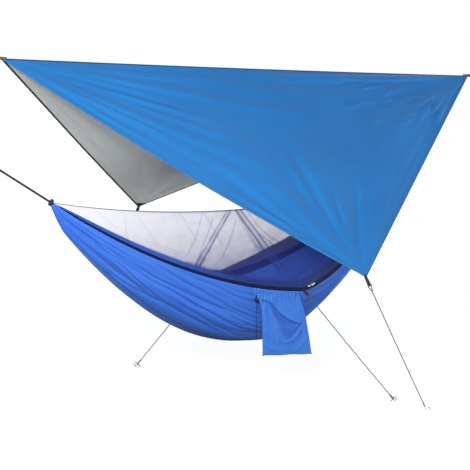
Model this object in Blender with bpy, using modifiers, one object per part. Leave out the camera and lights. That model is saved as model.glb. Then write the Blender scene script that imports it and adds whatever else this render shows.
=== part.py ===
"""Camping hammock with a sewn-in insect net, hung under a square rain fly that is pitched corner up.

Metres, +Z up. The origin is where the left tree line bears inside the left carabiner. +X runs from the
left end of the hammock to its right end, and -Y points at the side with the zip and the pouch.
"""
import math

import bmesh
import bpy
import numpy as np
from mathutils import Matrix

COLLECTION = "hammock_tent"

# Joints between touching pieces, and cloth
seat_gap = 0.0004
weld_distance = 0.00001
cut_overrun = 0.004
cloth_thickness = 0.0006
net_thickness = 0.0005
tape_thickness = 0.0012
webbing_thickness = 0.0014

# Hang of the hammock between its two ends
left_line_run = 0.475
left_line_rise = 0.300
hammock_span = 2.340
right_end_rise = 0.029
near_half_width = 0.4426
near_sag = 0.5387
far_half_width = 0.4007
far_sag = 0.5887
net_ridge_sag = 0.113
body_depth_middle = 0.310
body_depth_ends = 0.100
side_bulge_share = 0.08
body_fold_height = 0.009
body_fold_count = 6

# Where the stations lie along the hammock: sines of even angles, dense towards the ends
station_step_angle = math.radians(7.5)
station_reach = 10
pull_station = 1

# Strips along the hammock's edges
zip_tape_width = 0.0285
skirt_width = 0.042
far_band_width = 0.120
net_cord_radius = 0.0015
net_hang = 0.016

# Gathered ends and their nooses
neck_radius = 0.012
neck_length = 0.010
gather_half_width = 0.021
gather_half_height = 0.064
noose_rope_radius = 0.004

# Ropes and guy lines
rope_radius = 0.0055
rope_eye_length = 0.034
rope_knot_radius = 0.0105
rope_knot_length = 0.022
guy_radius = 0.0025
guy_eye_length = 0.020
guy_knot_radius = 0.0045
guy_knot_length = 0.010
guy_sag = 0.004
right_loop_angle = math.radians(47.0)

# Carabiners
carabiner_wire_radius = 0.004
carabiner_bow_radius = 0.012
carabiner_straight = 0.050
gate_radius = 0.0032
gate_start = 0.006
gate_length = 0.038
gate_pin_radius = 0.0011
gate_pin_clearance = 0.0001
gate_ear_thickness = 0.0016
gate_ear_length = 0.007

# Rain fly
fly_side = 2.200
fly_ahead = 1.2688
fly_above = 0.6999
fly_front_slope = math.radians(42.25)
fly_back_slope = math.radians(35.10)
fly_ridge_tilt = math.radians(2.54)
fly_ridge_sag = 0.006
fly_edge_droop = 0.030
fly_fold_height = 0.007
fly_binding_width = 0.008
fly_corner_cut = 0.034
fly_patch_length = 0.030
fly_patch_thickness = 0.0016
fly_ridge_gap = 0.0012
fly_ridge_cord_radius = 0.002

# Webbing loops
webbing_width = 0.016
webbing_bend_radius = 0.005
webbing_root_gap = 0.0011
corner_loop_length = 0.060
front_strap_length = 0.060
back_loop_length = 0.040
pullout_loop_length = 0.034

# Ground and pegs
ground_drop = 1.350
front_peg_ahead = 0.258
front_peg_out = 0.188
near_peg_ahead = 0.158
near_peg_out = 0.613
far_peg_back = 0.370
far_peg_out = 0.119
peg_radius = 0.0025
peg_length = 0.165
peg_above_eye = 0.012
peg_eye_height = 0.016
peg_hook_radius = 0.008
peg_hook_tail = 0.014

# Zip sliders and pulls
slider_length = 0.013
slider_width = 0.009
slider_height = 0.0036
slider_bevel = 0.0012
slider_spacing = 0.024
slider_bridge_radius = 0.0009
slider_bridge_half = 0.0038
slider_bridge_rise = 0.0036
pull_length = 0.026
pull_width = 0.0075
pull_thickness = 0.0012
pull_slot_length = 0.0072
pull_slot_width = 0.0032
pull_bar = 0.0012
pull_lift = 0.0004

# Pouch, its header strip and its drawcord
pouch_top_width = 0.256
pouch_height = 0.345
pouch_thickness = 0.014
pouch_hem_thickness = 0.007
pouch_foot_thickness = 0.004
pouch_drop = 0.008
pouch_clear = 0.0002
pouch_swing_gap = 0.0008
tab_thickness = 0.0010
drawcord_radius = 0.0015
drawcord_spacing = 0.0038
drawcord_drop = 0.235
drawcord_exit_drop = 0.005
drawcord_bend = 0.009
drawcord_knot_radius = 0.0044
drawcord_knot_length = 0.010
lock_radius = 0.008
lock_length = 0.018
lock_bevel = 0.0015
lock_drop = 0.030
lock_wall = 0.002
button_radius = 0.0047
button_bore_gap = 0.0003
button_proud = 0.004
button_travel = 0.003
cord_slot_gap = 0.0004

# Shares of the sizes above, chosen by hand
pouch_reach_shares = (-0.100, 0.103)
slider_place_share = 0.50
strip_draw_share = 3.0
near_bow_shares = (0.9713, 1.0173, 1.7781)
far_bow_shares = (1.0173, 1.9244)
body_depth_shares = (1.8, 24.0)
body_fold_shares = (0.65, 0.55, 6.0)
wing_fan_shares = ((15.0, 0.4, 0.55), (17.0, 1.1, 0.35), (13.0, 0.2, 0.35))
wing_slack_shares = (1.0, 0.3)
patch_point_share = 0.1
back_loop_droop_share = 0.6
knot_shares = ((0.00, 0.55), (0.12, 0.90), (0.50, 1.00), (0.88, 0.90), (1.00, 0.55))
gather_shares = ((0.00, 0.00), (0.18, 0.04), (0.45, 0.30), (0.72, 0.66), (1.00, 1.00))
slab_end_share = 0.55
slab_face_share = 0.75
pouch_side_shares = ((0.00, -0.490, 0.510), (0.03, -0.460, 0.520), (0.10, -0.375, 0.550), (0.22, -0.325, 0.600),
                     (0.38, -0.310, 0.655), (0.55, -0.300, 0.695), (0.72, -0.295, 0.735), (0.87, -0.290, 0.765),
                     (0.96, -0.288, 0.785), (1.00, -0.287, 0.790))

COLORS = {
    "fly_cloth": ((0.045, 0.215, 0.565), 0.55, 0.0),
    "fly_trim": ((0.030, 0.035, 0.022), 0.75, 0.0),
    "body_cloth": ((0.040, 0.170, 0.760), 0.50, 0.0),
    "skirt_cloth": ((0.020, 0.075, 0.420), 0.60, 0.0),
    "band_cloth": ((0.012, 0.015, 0.120), 0.65, 0.0),
    "net": ((0.600, 0.590, 0.800), 0.70, 0.0),
    "zip_tape": ((0.008, 0.009, 0.022), 0.70, 0.0),
    "black_rope": ((0.010, 0.010, 0.011), 0.80, 0.0),
    "black_webbing": ((0.012, 0.012, 0.011), 0.80, 0.0),
    "olive_webbing": ((0.110, 0.095, 0.030), 0.80, 0.0),
    "grey_cord": ((0.120, 0.125, 0.120), 0.70, 0.0),
    "steel": ((0.560, 0.570, 0.580), 0.28, 1.0),
    "slider_metal": ((0.720, 0.720, 0.740), 0.25, 1.0),
    "lock_plastic": ((0.012, 0.012, 0.013), 0.45, 0.0),
}


def clear_scene():
    """Remove what the file opened with, and make the two collections."""
    for thing in list(bpy.data.objects):
        bpy.data.objects.remove(thing, do_unlink=True)
    made = []
    for name in (COLLECTION, "cutters"):
        group = bpy.data.collections.new(name)
        bpy.context.scene.collection.children.link(group)
        made.append(group)
    return made


PARTS, CUTTERS = clear_scene()


def material(name):
    """One Principled material for each finish, made once."""
    if name in bpy.data.materials:
        return bpy.data.materials[name]
    color, roughness, metallic = COLORS[name]
    made = bpy.data.materials.new(name)
    made.use_nodes = True
    shader = made.node_tree.nodes["Principled BSDF"]
    shader.inputs["Base Color"].default_value = (*color, 1.0)
    shader.inputs["Roughness"].default_value = roughness
    shader.inputs["Metallic"].default_value = metallic
    made.diffuse_color = (*color, 1.0)
    return made


def add(name, data, finish, group=PARTS):
    """Put mesh or curve data into the scene as one named part."""
    thing = bpy.data.objects.new(name, data)
    data.materials.append(material(finish))
    group.objects.link(thing)
    return thing


def finished_mesh(shape, name):
    """The closed mesh that a bmesh holds, shaded smooth with its true edges sharp."""
    bmesh.ops.recalc_face_normals(shape, faces=shape.faces)
    mesh = bpy.data.meshes.new(name)
    shape.to_mesh(mesh)
    shape.free()
    mesh.shade_smooth()
    mesh.set_sharp_from_angle(angle=math.radians(35.0))
    return mesh


def sheet(name, surface, along, across, thickness, finish):
    """A cloth sheet: a grid bent to surface(u, v) at the given u and v values, then thickened."""
    along = np.asarray(along, float)
    across = np.asarray(across, float)
    u, v = np.meshgrid(along, across, indexing="ij")
    points = surface(u, v).reshape(-1, 3)
    shape = bmesh.new()
    bmesh.ops.create_grid(shape, x_segments=len(along) - 1, y_segments=len(across) - 1, size=0.5)
    for vert in shape.verts:
        column = round((vert.co.x + 0.5) * (len(along) - 1))
        row = round((vert.co.y + 0.5) * (len(across) - 1))
        vert.co = points[column * len(across) + row]
    mesh = finished_mesh(shape, name)
    thing = add(name, mesh, finish)
    wall = thing.modifiers.new("cloth", "SOLIDIFY")
    wall.thickness = thickness
    wall.offset = 0.0
    return thing


def tube(name, points, radius, finish, sides=2, closed=False):
    """A round rope, cord or wire along the points, with filled ends."""
    data = bpy.data.curves.new(name, "CURVE")
    data.dimensions = "3D"
    data.bevel_depth = radius
    data.bevel_resolution = sides
    data.use_fill_caps = not closed
    line = data.splines.new("POLY")
    line.points.add(len(points) - 1)
    for spot, point in zip(line.points, points):
        spot.co = (*point, 1.0)
    line.use_cyclic_u = closed
    line.use_smooth = True
    return add(name, data, finish)


def as_mesh(thing):
    """Turn a curve or a piece with modifiers into a plain mesh with welded caps."""
    graph = bpy.context.evaluated_depsgraph_get()
    mesh = bpy.data.meshes.new_from_object(thing.evaluated_get(graph), depsgraph=graph)
    shape = bmesh.new()
    shape.from_mesh(mesh)
    bmesh.ops.remove_doubles(shape, verts=shape.verts, dist=weld_distance)
    name, place, group = thing.name, thing.matrix_world.copy(), thing.users_collection[0]
    finish = thing.data.materials[0].name
    bpy.data.objects.remove(thing, do_unlink=True)
    bpy.data.meshes.remove(mesh)
    new = add(name, finished_mesh(shape, name), finish, group)
    new.matrix_world = place
    return new


def turned(name, profile, finish, frame, steps=12, group=PARTS):
    """A turned piece: the (radius, height) profile run from top to bottom about the frame's Z axis."""
    mesh = bpy.data.meshes.new(name)
    spots = [(radius, 0.0, height) for radius, height in profile]
    mesh.from_pydata(spots, [(i, i + 1) for i in range(len(spots) - 1)], [])
    thing = add(name, mesh, finish, group)
    screw = thing.modifiers.new("turn", "SCREW")
    screw.steps = steps
    screw.render_steps = steps
    screw.use_merge_vertices = True
    screw.merge_threshold = weld_distance
    screw.use_smooth_shade = True
    thing.matrix_world = frame
    return thing


def block(name, size, finish, frame, bevel=0.0, group=PARTS):
    """A box of the given size about the frame's origin, with its edges rounded."""
    shape = bmesh.new()
    bmesh.ops.create_cube(shape, size=1.0, matrix=Matrix.Diagonal((*size, 1.0)))
    thing = add(name, finished_mesh(shape, name), finish, group)
    thing.matrix_world = frame
    if bevel:
        rounding = thing.modifiers.new("round", "BEVEL")
        rounding.width = bevel
        rounding.segments = 2
    return thing


def loft(name, rings, finish):
    """A closed body through rings of as many points each, with both ends capped."""
    shape = bmesh.new()
    rows = [[shape.verts.new(point) for point in ring] for ring in rings]
    count = len(rows[0])
    for low, high in zip(rows, rows[1:]):
        for i in range(count):
            j = (i + 1) % count
            shape.faces.new((low[i], low[j], high[j], high[i]))
    shape.faces.new(rows[0])
    shape.faces.new(rows[-1])
    return add(name, finished_mesh(shape, name), finish)


def cut(thing, cutter, operation="DIFFERENCE"):
    """Cut a piece by a hidden cutter, or join the cutter's shape to it."""
    cutter.hide_render = True
    cutter.display_type = "WIRE"
    change = thing.modifiers.new(cutter.name, "BOOLEAN")
    change.operation = operation
    change.solver = "EXACT"
    change.object = cutter


def unit(vector):
    """The vector at length one."""
    vector = np.asarray(vector, float)
    return vector / np.linalg.norm(vector)


def frame_of(origin, x_axis, z_axis):
    """A placing matrix with its X and Z axes along the given directions."""
    z = unit(z_axis)
    x = np.asarray(x_axis, float)
    x = unit(x - z * (x @ z))
    y = np.cross(z, x)
    place = Matrix.Identity(4)
    for column, axis in enumerate((x, y, z, origin)):
        for row in range(3):
            place[row][column] = float(axis[row])
    return place


SIDEWAYS = np.array([0.0, 1.0, 0.0])


# The hammock's lines. t runs from -1 at the left end to 1 at the right end.
def place_x(t):
    """X at t."""
    return left_line_run + 0.5 * hammock_span * (1.0 + t)


def end_line(t):
    """Height at t of the straight line from one end of the hammock to the other."""
    return -left_line_rise + 0.5 * right_end_rise * (1.0 + t)


PULL = math.sin(station_step_angle * pull_station)
STATIONS = np.sin(station_step_angle * np.arange(-station_reach, station_reach + 1))


def from_pull(t):
    """Distance from the pulled-out point of the near edge, as a share of the way to either end."""
    return np.where(t > PULL, (t - PULL) / (1.0 - PULL), (PULL - t) / (1.0 + PULL))


def near_edge(t):
    """Near edge: pulled out by its guy line, so it comes to a blunt point there."""
    share = from_pull(t)
    run, bow, sag = near_bow_shares
    y = -near_half_width * np.maximum(1.0 - share**run, 0.0) ** bow
    z = end_line(t) - near_sag * (1.0 - share**sag)
    return np.stack([place_x(t), y, z], axis=-1)


def far_edge(t):
    """Far edge: an even bow."""
    bow, sag = far_bow_shares
    y = far_half_width * np.maximum(1.0 - t * t, 0.0) ** bow
    z = end_line(t) - far_sag * (1.0 - np.abs(t) ** sag)
    return np.stack([place_x(t), y, z], axis=-1)


def net_ridge(t):
    """The cord in the top of the net: a shallow hang from end to end."""
    return np.stack([place_x(t), 0.0 * t, end_line(t) - net_ridge_sag * (1.0 - t * t)], axis=-1)


def body_depth(t):
    """How far the bottom hangs below the two edges."""
    middle = np.maximum(1.0 - t * t, 0.0) ** body_depth_shares[0]
    closing = np.sqrt(np.maximum(1.0 - np.abs(t) ** body_depth_shares[1], 0.0))
    return (body_depth_ends + (body_depth_middle - body_depth_ends) * middle) * closing


def body_surface(t, w):
    """The lying cloth: w is 0 on the near edge and 1 on the far edge, with long folds between."""
    def smooth(w):
        p = near_edge(t) * (1.0 - w)[..., None] + far_edge(t) * w[..., None]
        p[..., 2] -= body_depth(t) * (1.0 - (2.0 * w - 1.0) ** 2)
        p[..., 1] -= side_bulge_share * body_depth(t) * np.sin(2.0 * np.pi * w)
        return p
    step = 0.01
    tangent = smooth(w + step) - smooth(w - step)
    normal = np.stack([0.0 * w, tangent[..., 2], -tangent[..., 1]], axis=-1)
    normal /= np.linalg.norm(normal, axis=-1)[..., None]
    folds = np.sin(2.0 * np.pi * body_fold_count * w) * np.sin(np.pi * w) ** 0.5
    calm, reach, rise = body_fold_shares
    spread = (1.0 - calm * np.exp(-((t / reach) ** 2))) * np.minimum(1.0, rise * (1.0 - np.abs(t)))
    return smooth(w) + normal * (body_fold_height * folds * spread)[..., None]


def strip_share(width, reach):
    """A strip's width where it is drawn in towards the gathered ends."""
    return width * reach / (reach + strip_draw_share * width)


def ruled(edge, start, end, hang=0.0):
    """The flat run from an edge of the hammock up to the net's ridge cord, between two distances."""
    def surface(t, v):
        foot, head = edge(t), net_ridge(t)
        reach = np.linalg.norm(head - foot, axis=-1)
        low, high = start(reach), end(reach)
        share = (low + (high - low) * v) / reach
        p = foot + (head - foot) * share[..., None]
        p[..., 2] -= hang * np.sin(np.pi * v) * np.minimum(1.0, reach / near_half_width)
        return p
    return surface


def hammock():
    """The lying cloth with its folds, the strips sewn to its edges, and the net over it."""
    w = np.linspace(0.0, 1.0, 4 * body_fold_count + 1)
    sheet("hammock_body", body_surface, STATIONS, w, cloth_thickness, "body_cloth")
    ends = (0.0, 1.0)
    zip_top = lambda reach: strip_share(zip_tape_width, reach)
    skirt_top = lambda reach: zip_top(reach) + seat_gap + strip_share(skirt_width, reach)
    band_top = lambda reach: strip_share(far_band_width, reach)
    first = lambda reach: 0.0 * reach + seat_gap + 0.5 * tape_thickness
    last = lambda reach: reach - net_cord_radius - seat_gap - net_thickness
    above = lambda lower: (lambda reach: lower(reach) + seat_gap)
    sheet("near_zip_tape", ruled(near_edge, first, zip_top), STATIONS, ends, tape_thickness, "zip_tape")
    sheet("near_skirt", ruled(near_edge, above(zip_top), skirt_top), STATIONS, ends,
          cloth_thickness, "skirt_cloth")
    sheet("far_band", ruled(far_edge, first, band_top), STATIONS, ends, cloth_thickness, "band_cloth")
    rows = np.linspace(0.0, 1.0, 8)
    sheet("net_near_panel", ruled(near_edge, above(skirt_top), last, net_hang), STATIONS, rows,
          net_thickness, "net")
    sheet("net_far_panel", ruled(far_edge, above(band_top), last, net_hang), STATIONS, rows,
          net_thickness, "net")
    tube("net_ridge_cord", net_ridge(STATIONS), net_cord_radius, "black_rope")


def knot(name, start, direction, radius, length, finish, group=PARTS):
    """A tied knot as a barrel on the line's own axis."""
    profile = [(radius * bulge, length * (1.0 - share)) for share, bulge in knot_shares]
    profile = [(0.0, length)] + profile + [(0.0, 0.0)]
    side = np.cross(direction, (0.3, 1.0, 0.1))
    return turned(name, profile, finish, frame_of(start, side, direction), steps=10, group=group)


def eye(name, bar, direction, side, bend, half_flat, length, radius, finish):
    """A closed eye of rope: round the bar on one side, and drawn to a narrow tip along direction."""
    direction, side, bar = unit(direction), unit(side), np.asarray(bar, float)
    tip = 1.15 * radius
    points = []
    for angle in np.radians(np.linspace(90.0, 180.0, 4)):
        points.append(bar + direction * bend * math.cos(angle) + side * (half_flat + bend * math.sin(angle)))
    for angle in np.radians(np.linspace(180.0, 270.0, 4)):
        points.append(bar + direction * bend * math.cos(angle) + side * (bend * math.sin(angle) - half_flat))
    if half_flat == 0.0:
        points.pop(4)
    for angle in np.radians(np.linspace(-90.0, 90.0, 5)):
        points.append(bar + direction * (length + tip * math.cos(angle)) + side * tip * math.sin(angle))
    return tube(name, points, radius, finish, closed=True)


def tied_eye(name, bar, direction, side, bend, half_flat, length, radius, knot_size, finish):
    """An eye and the knot that closes it, as one solid; returns where the line leaves the knot."""
    direction, bar = unit(direction), np.asarray(bar, float)
    loop = as_mesh(eye(name, bar, direction, side, bend, half_flat, length, radius, finish))
    start = bar + direction * length
    lump = knot(name + "_cutter", start, direction, *knot_size, finish, group=CUTTERS)
    cut(loop, lump, "UNION")
    return start + direction * (knot_size[1] + seat_gap)


def gather(name, t_end):
    """The cloth drawn together at one end, from the body's end section to a round neck."""
    outward = 1.0 if t_end > 0 else -1.0
    base = np.array([place_x(t_end) + outward * seat_gap, 0.0, end_line(t_end) - gather_half_height])
    tip = np.array([place_x(outward), 0.0, end_line(outward)])
    pull = line_direction(outward)
    rings = []
    for share, narrowing in gather_shares:
        centre = base + (tip - base) * share
        across = gather_half_width + (neck_radius - gather_half_width) * narrowing
        tall = gather_half_height + (neck_radius - gather_half_height) * narrowing
        level = unit(np.array([outward, 0.0, 0.0]) * (1.0 - narrowing) + pull * narrowing)
        rings.append(ring(centre, level, across, tall))
    rings.append(ring(tip + pull * neck_length, pull, neck_radius, neck_radius))
    return loft(name, rings, "body_cloth")


def ring(centre, normal, across, tall, count=16):
    """Points of an oval that faces along normal, with its width along Y."""
    rise = np.cross(normal, (0.0, 1.0, 0.0))
    turn = np.linspace(0.0, 2.0 * np.pi, count, endpoint=False)
    return [centre + np.array([0.0, 1.0, 0.0]) * across * math.cos(a) + rise * tall * math.sin(a) for a in turn]


def line_direction(outward):
    """Direction of the tree line at one end: measured on the left, the short loop's angle on the right."""
    if outward < 0:
        return unit((-left_line_run, 0.0, left_line_rise))
    return np.array([math.cos(right_loop_angle), 0.0, math.sin(right_loop_angle)])


def hammock_end(t_end, word):
    """Gathered cloth with its cinch ring; returns the point where the rope leaves the cloth."""
    outward = 1.0 if t_end > 0 else -1.0
    gather(word + "_gather", t_end)
    tip = np.array([place_x(outward), 0.0, end_line(outward)])
    pull = line_direction(outward)
    bpy.ops.mesh.primitive_torus_add(major_radius=neck_radius + seat_gap + noose_rope_radius,
                                     minor_radius=noose_rope_radius, major_segments=24, minor_segments=8)
    loop = bpy.context.object
    mesh = loop.data
    bpy.data.objects.remove(loop, do_unlink=True)
    noose = add(word + "_noose", mesh, "black_rope")
    noose.matrix_world = frame_of(tip + pull * 0.5 * neck_length, (0.0, 1.0, 0.0), pull)
    return tip + pull * (neck_length + seat_gap)


def carabiner(word, foot, direction, side):
    """An oval carabiner with its lower bow centred on foot, its gate and the gate's pin."""
    def local(p, q):
        return np.asarray(foot) + direction * (p + carabiner_bow_radius) + side * q
    half = carabiner_bow_radius
    nose = gate_start + gate_length + 2.0 * seat_gap
    points = [local(gate_start - seat_gap, half), local(0.5 * gate_start, half)]
    for angle in np.radians(np.linspace(0.0, 180.0, 9)):
        points.append(local(-half * math.sin(angle), half * math.cos(angle)))
    points.append(local(0.5 * carabiner_straight, -half))
    for angle in np.radians(np.linspace(0.0, 180.0, 9)):
        points.append(local(carabiner_straight + half * math.sin(angle), -half * math.cos(angle)))
    points.append(local(nose - seat_gap, half))
    body = as_mesh(tube(word + "_carabiner", points, carabiner_wire_radius, "steel"))
    flat = np.cross(direction, side)
    pin_at = local(gate_start + gate_radius, half)
    ear_centre = gate_start + 0.5 * gate_radius
    for sign in (-1.0, 1.0):
        spot = local(ear_centre, half) + flat * sign * (gate_radius + seat_gap + 0.5 * gate_ear_thickness)
        ear = block(word + "_ear_cutter", (gate_ear_length, gate_ear_length, gate_ear_thickness), "steel",
                    frame_of(spot, direction, flat), group=CUTTERS)
        cut(body, ear, "UNION")
    gate_profile = [(0.0, gate_length), (gate_radius, gate_length)]
    for angle in np.radians(np.linspace(90.0, 0.0, 5)):
        gate_profile.append((gate_radius * math.sin(angle), gate_radius * (1.0 - math.cos(angle))))
    gate = turned(word + "_carabiner_gate", gate_profile, "steel",
                  frame_of(local(gate_start, half), side, direction), steps=12)
    reach = gate_radius + seat_gap + gate_ear_thickness
    drill = turned(word + "_pin_cutter", [(0.0, reach + cut_overrun),
                                          (gate_pin_radius + gate_pin_clearance, reach + cut_overrun),
                                          (gate_pin_radius + gate_pin_clearance, -reach - cut_overrun),
                                          (0.0, -reach - cut_overrun)],
                   "steel", frame_of(pin_at, direction, flat), steps=10, group=CUTTERS)
    cut(gate, drill)
    cut(body, drill)
    turned(word + "_gate_pin", [(0.0, reach), (gate_pin_radius, reach), (gate_pin_radius, -reach), (0.0, -reach)],
           "steel", frame_of(pin_at, direction, flat), steps=10)
    print(word, "gate axis", pin_at.round(5), flat.round(4))


def suspension():
    """The left rope to its carabiner, and the short loop with its carabiner on the right."""
    bar_reach = carabiner_straight + 2.0 * carabiner_bow_radius - carabiner_wire_radius
    bend = carabiner_wire_radius + seat_gap + rope_radius
    knot_size = (rope_knot_radius, rope_knot_length)
    start = hammock_end(STATIONS[0], "left")
    pull = line_direction(-1.0)
    upright = np.array([-pull[2], 0.0, pull[0]])
    foot = -pull * bar_reach
    end = tied_eye("left_rope_eye", foot, -pull, SIDEWAYS, bend, 0.0, rope_eye_length, rope_radius, knot_size,
                   "black_rope")
    carabiner("left", foot, pull, -upright)
    tube("left_rope", start + (end - start) * np.linspace(0.0, 1.0, 16)[:, None], rope_radius, "black_rope",
         sides=3)
    start = hammock_end(STATIONS[-1], "right")
    pull = line_direction(1.0)
    upright = np.array([-pull[2], 0.0, pull[0]])
    foot = start + pull * (rope_knot_length + rope_eye_length)
    tied_eye("right_loop", foot, -pull, SIDEWAYS, bend, 0.0, rope_eye_length, rope_radius, knot_size, "black_rope")
    carabiner("right", foot, pull, upright)
    print("right anchor", (foot + pull * bar_reach).round(5))


# The fly's corners
HALF_DIAGONAL = fly_side / math.sqrt(2.0)
FLY_CENTRE = np.array([left_line_run + fly_ahead, 0.0, -left_line_rise + fly_above])
LEAN = np.array([math.sin(fly_ridge_tilt), 0.0, math.cos(fly_ridge_tilt)])
RIDGE_WAY = np.array([math.cos(fly_ridge_tilt), 0.0, -math.sin(fly_ridge_tilt)])
FLY_LEFT = FLY_CENTRE - HALF_DIAGONAL * RIDGE_WAY
FLY_RIGHT = FLY_CENTRE + HALF_DIAGONAL * RIDGE_WAY


def wing_way(slope, sign):
    """Downhill direction of one wing of the fly."""
    return SIDEWAYS * sign * math.cos(slope) - LEAN * math.sin(slope)


FRONT_WAY = wing_way(fly_front_slope, -1.0)
BACK_WAY = wing_way(fly_back_slope, 1.0)
FLY_FRONT = FLY_CENTRE + HALF_DIAGONAL * FRONT_WAY
FLY_BACK = FLY_CENTRE + HALF_DIAGONAL * BACK_WAY


def fan(distance_x, distance_y, count, turn, reach):
    """Folds that fan out of a corner: waves round it that rise and die away along their length."""
    radius = np.hypot(distance_x, distance_y) + 1e-9
    angle = np.arctan2(distance_y, distance_x)
    return np.sin(count * angle + turn) * (radius / reach) * np.exp(1.0 - radius / reach) * 0.9


def wing_surface(corner, downhill, droop_left):
    """One wing of the fly: u runs along the ridge, v from the ridge to the wing's corner."""
    normal = np.cross(RIDGE_WAY, downhill)
    normal *= np.sign(normal[2])

    def surface(u, v):
        ridge = FLY_LEFT + (FLY_RIGHT - FLY_LEFT) * u[..., None]
        ridge[..., 2] -= fly_ridge_sag * 4.0 * u * (1.0 - u)
        p = ridge * (1.0 - v)[..., None] + corner * v[..., None]
        x = (u - 0.5) * (1.0 - v) * 2.0
        left, right, foot = wing_fan_shares
        folds = fan(x + 1.0, v, *left) + fan(x - 1.0, v, *right) + fan(1.0 - v, x, *foot)
        hold = np.minimum(1.0, 9.0 * v) * np.minimum(1.0, 7.0 * (1.0 - v))
        p += normal * (fly_fold_height * 0.5 * folds * hold)[..., None]
        slack = droop_left * (1.0 - u) ** 2 + 0.15 * (1.0 - (2.0 * u - 1.0) ** 2)
        p[..., 2] -= fly_edge_droop * 4.0 * v * (1.0 - v) * slack
        return p
    return surface


def patch_end(corner, downhill):
    """Middle of the outer edge of a corner patch, where its webbing is sewn on."""
    return corner - downhill * patch_point_share * fly_patch_length


def binding(name, surface, u_edge, corner, rows):
    """Folded tape along one free edge of a wing, just outside the cloth's edge."""
    start = surface(np.array([u_edge]), np.array([0.0]))[0]
    way = unit(corner - start)
    outward = (FLY_LEFT if u_edge < 0.5 else FLY_RIGHT) - FLY_CENTRE
    outward = unit(outward - way * (outward @ way))

    def strip(v, s):
        edge = surface(0.0 * v + u_edge, v)
        return edge + outward * (seat_gap + s * fly_binding_width)[..., None]
    sheet(name, strip, rows, (0.0, 1.0), tape_thickness, "fly_trim")


def fly():
    """Two wings joined at the ridge, their bindings, corner patches and the cord in the ridge."""
    cut_share = fly_corner_cut / (2.0 * HALF_DIAGONAL)
    patch_share = fly_patch_length / HALF_DIAGONAL
    columns = cut_share + (1.0 - 2.0 * cut_share) * np.linspace(0.0, 1.0, 27)
    gap_share = fly_ridge_gap / HALF_DIAGONAL
    rows = gap_share + (1.0 - patch_share - gap_share) * np.linspace(0.0, 1.0, 17) ** 0.9
    wings = (("front", FLY_FRONT, FRONT_WAY), ("back", FLY_BACK, BACK_WAY))
    for (word, corner, downhill), droop in zip(wings, wing_slack_shares):
        surface = wing_surface(corner, downhill, droop)
        sheet("fly_" + word + "_panel", surface, columns, rows, cloth_thickness, "fly_cloth")
        trim_rows = np.concatenate([[0.5 * webbing_width / HALF_DIAGONAL], rows[1:]])
        binding("fly_" + word + "_left_binding", surface, columns[0], corner, trim_rows)
        binding("fly_" + word + "_right_binding", surface, columns[-1], corner, trim_rows)
        patch_rows = np.linspace(rows[-1] + seat_gap / HALF_DIAGONAL, 1.0 - patch_point_share * patch_share, 3)
        sheet("fly_" + word + "_patch", surface, columns[::13], patch_rows, fly_patch_thickness, "fly_trim")
    below = fly_ridge_cord_radius + seat_gap + cloth_thickness
    half_angle = 0.5 * (math.pi - fly_front_slope - fly_back_slope)
    drop = below / math.sin(half_angle)
    u = columns
    ridge = FLY_LEFT + (FLY_RIGHT - FLY_LEFT) * u[:, None]
    ridge[:, 2] -= fly_ridge_sag * 4.0 * u * (1.0 - u) + drop
    tube("fly_ridge_cord", ridge, fly_ridge_cord_radius, "black_rope")
    for word, end, way in (("left", FLY_LEFT, -RIDGE_WAY), ("right", FLY_RIGHT, RIDGE_WAY)):
        root = end - way * (fly_corner_cut - seat_gap)
        webbing_loop("fly_" + word + "_loop", root, way, SIDEWAYS, corner_loop_length, "olive_webbing")
    way = unit(BACK_WAY + back_loop_droop_share * np.array([0.0, 0.0, -1.0]))
    root = patch_end(FLY_BACK, BACK_WAY) + 2.0 * seat_gap * way
    webbing_loop("fly_back_loop", root, way, unit(np.cross(way, LEAN)), back_loop_length, "black_webbing")


def webbing_loop(name, root, way, side, length, finish, slant=0.0):
    """A sewn loop of webbing: out, round a small bend and back; slant turns its foot to the hem's line."""
    lift = np.cross(unit(side), unit(way))
    flat = length - webbing_bend_radius
    path = [(0.0, webbing_root_gap), (0.5 * flat, 0.5 * (webbing_root_gap + webbing_bend_radius))]
    for angle in np.radians(np.linspace(90.0, -90.0, 9)):
        path.append((flat + webbing_bend_radius * math.cos(angle), webbing_bend_radius * math.sin(angle)))
    path += [(0.5 * flat, -0.5 * (webbing_root_gap + webbing_bend_radius)), (0.0, -webbing_root_gap)]
    path = np.array(path)

    def surface(u, v):
        spot = path[u.astype(int)]
        width = (v - 0.5) * webbing_width
        ahead = spot[..., 0] + slant * width * np.maximum(1.0 - spot[..., 0] / flat, 0.0)
        return (np.asarray(root) + unit(way) * ahead[..., None] + lift * spot[..., 1:]
                + unit(side) * width[..., None])
    return sheet(name, surface, np.arange(len(path)), (0.0, 1.0), webbing_thickness, finish)


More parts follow.
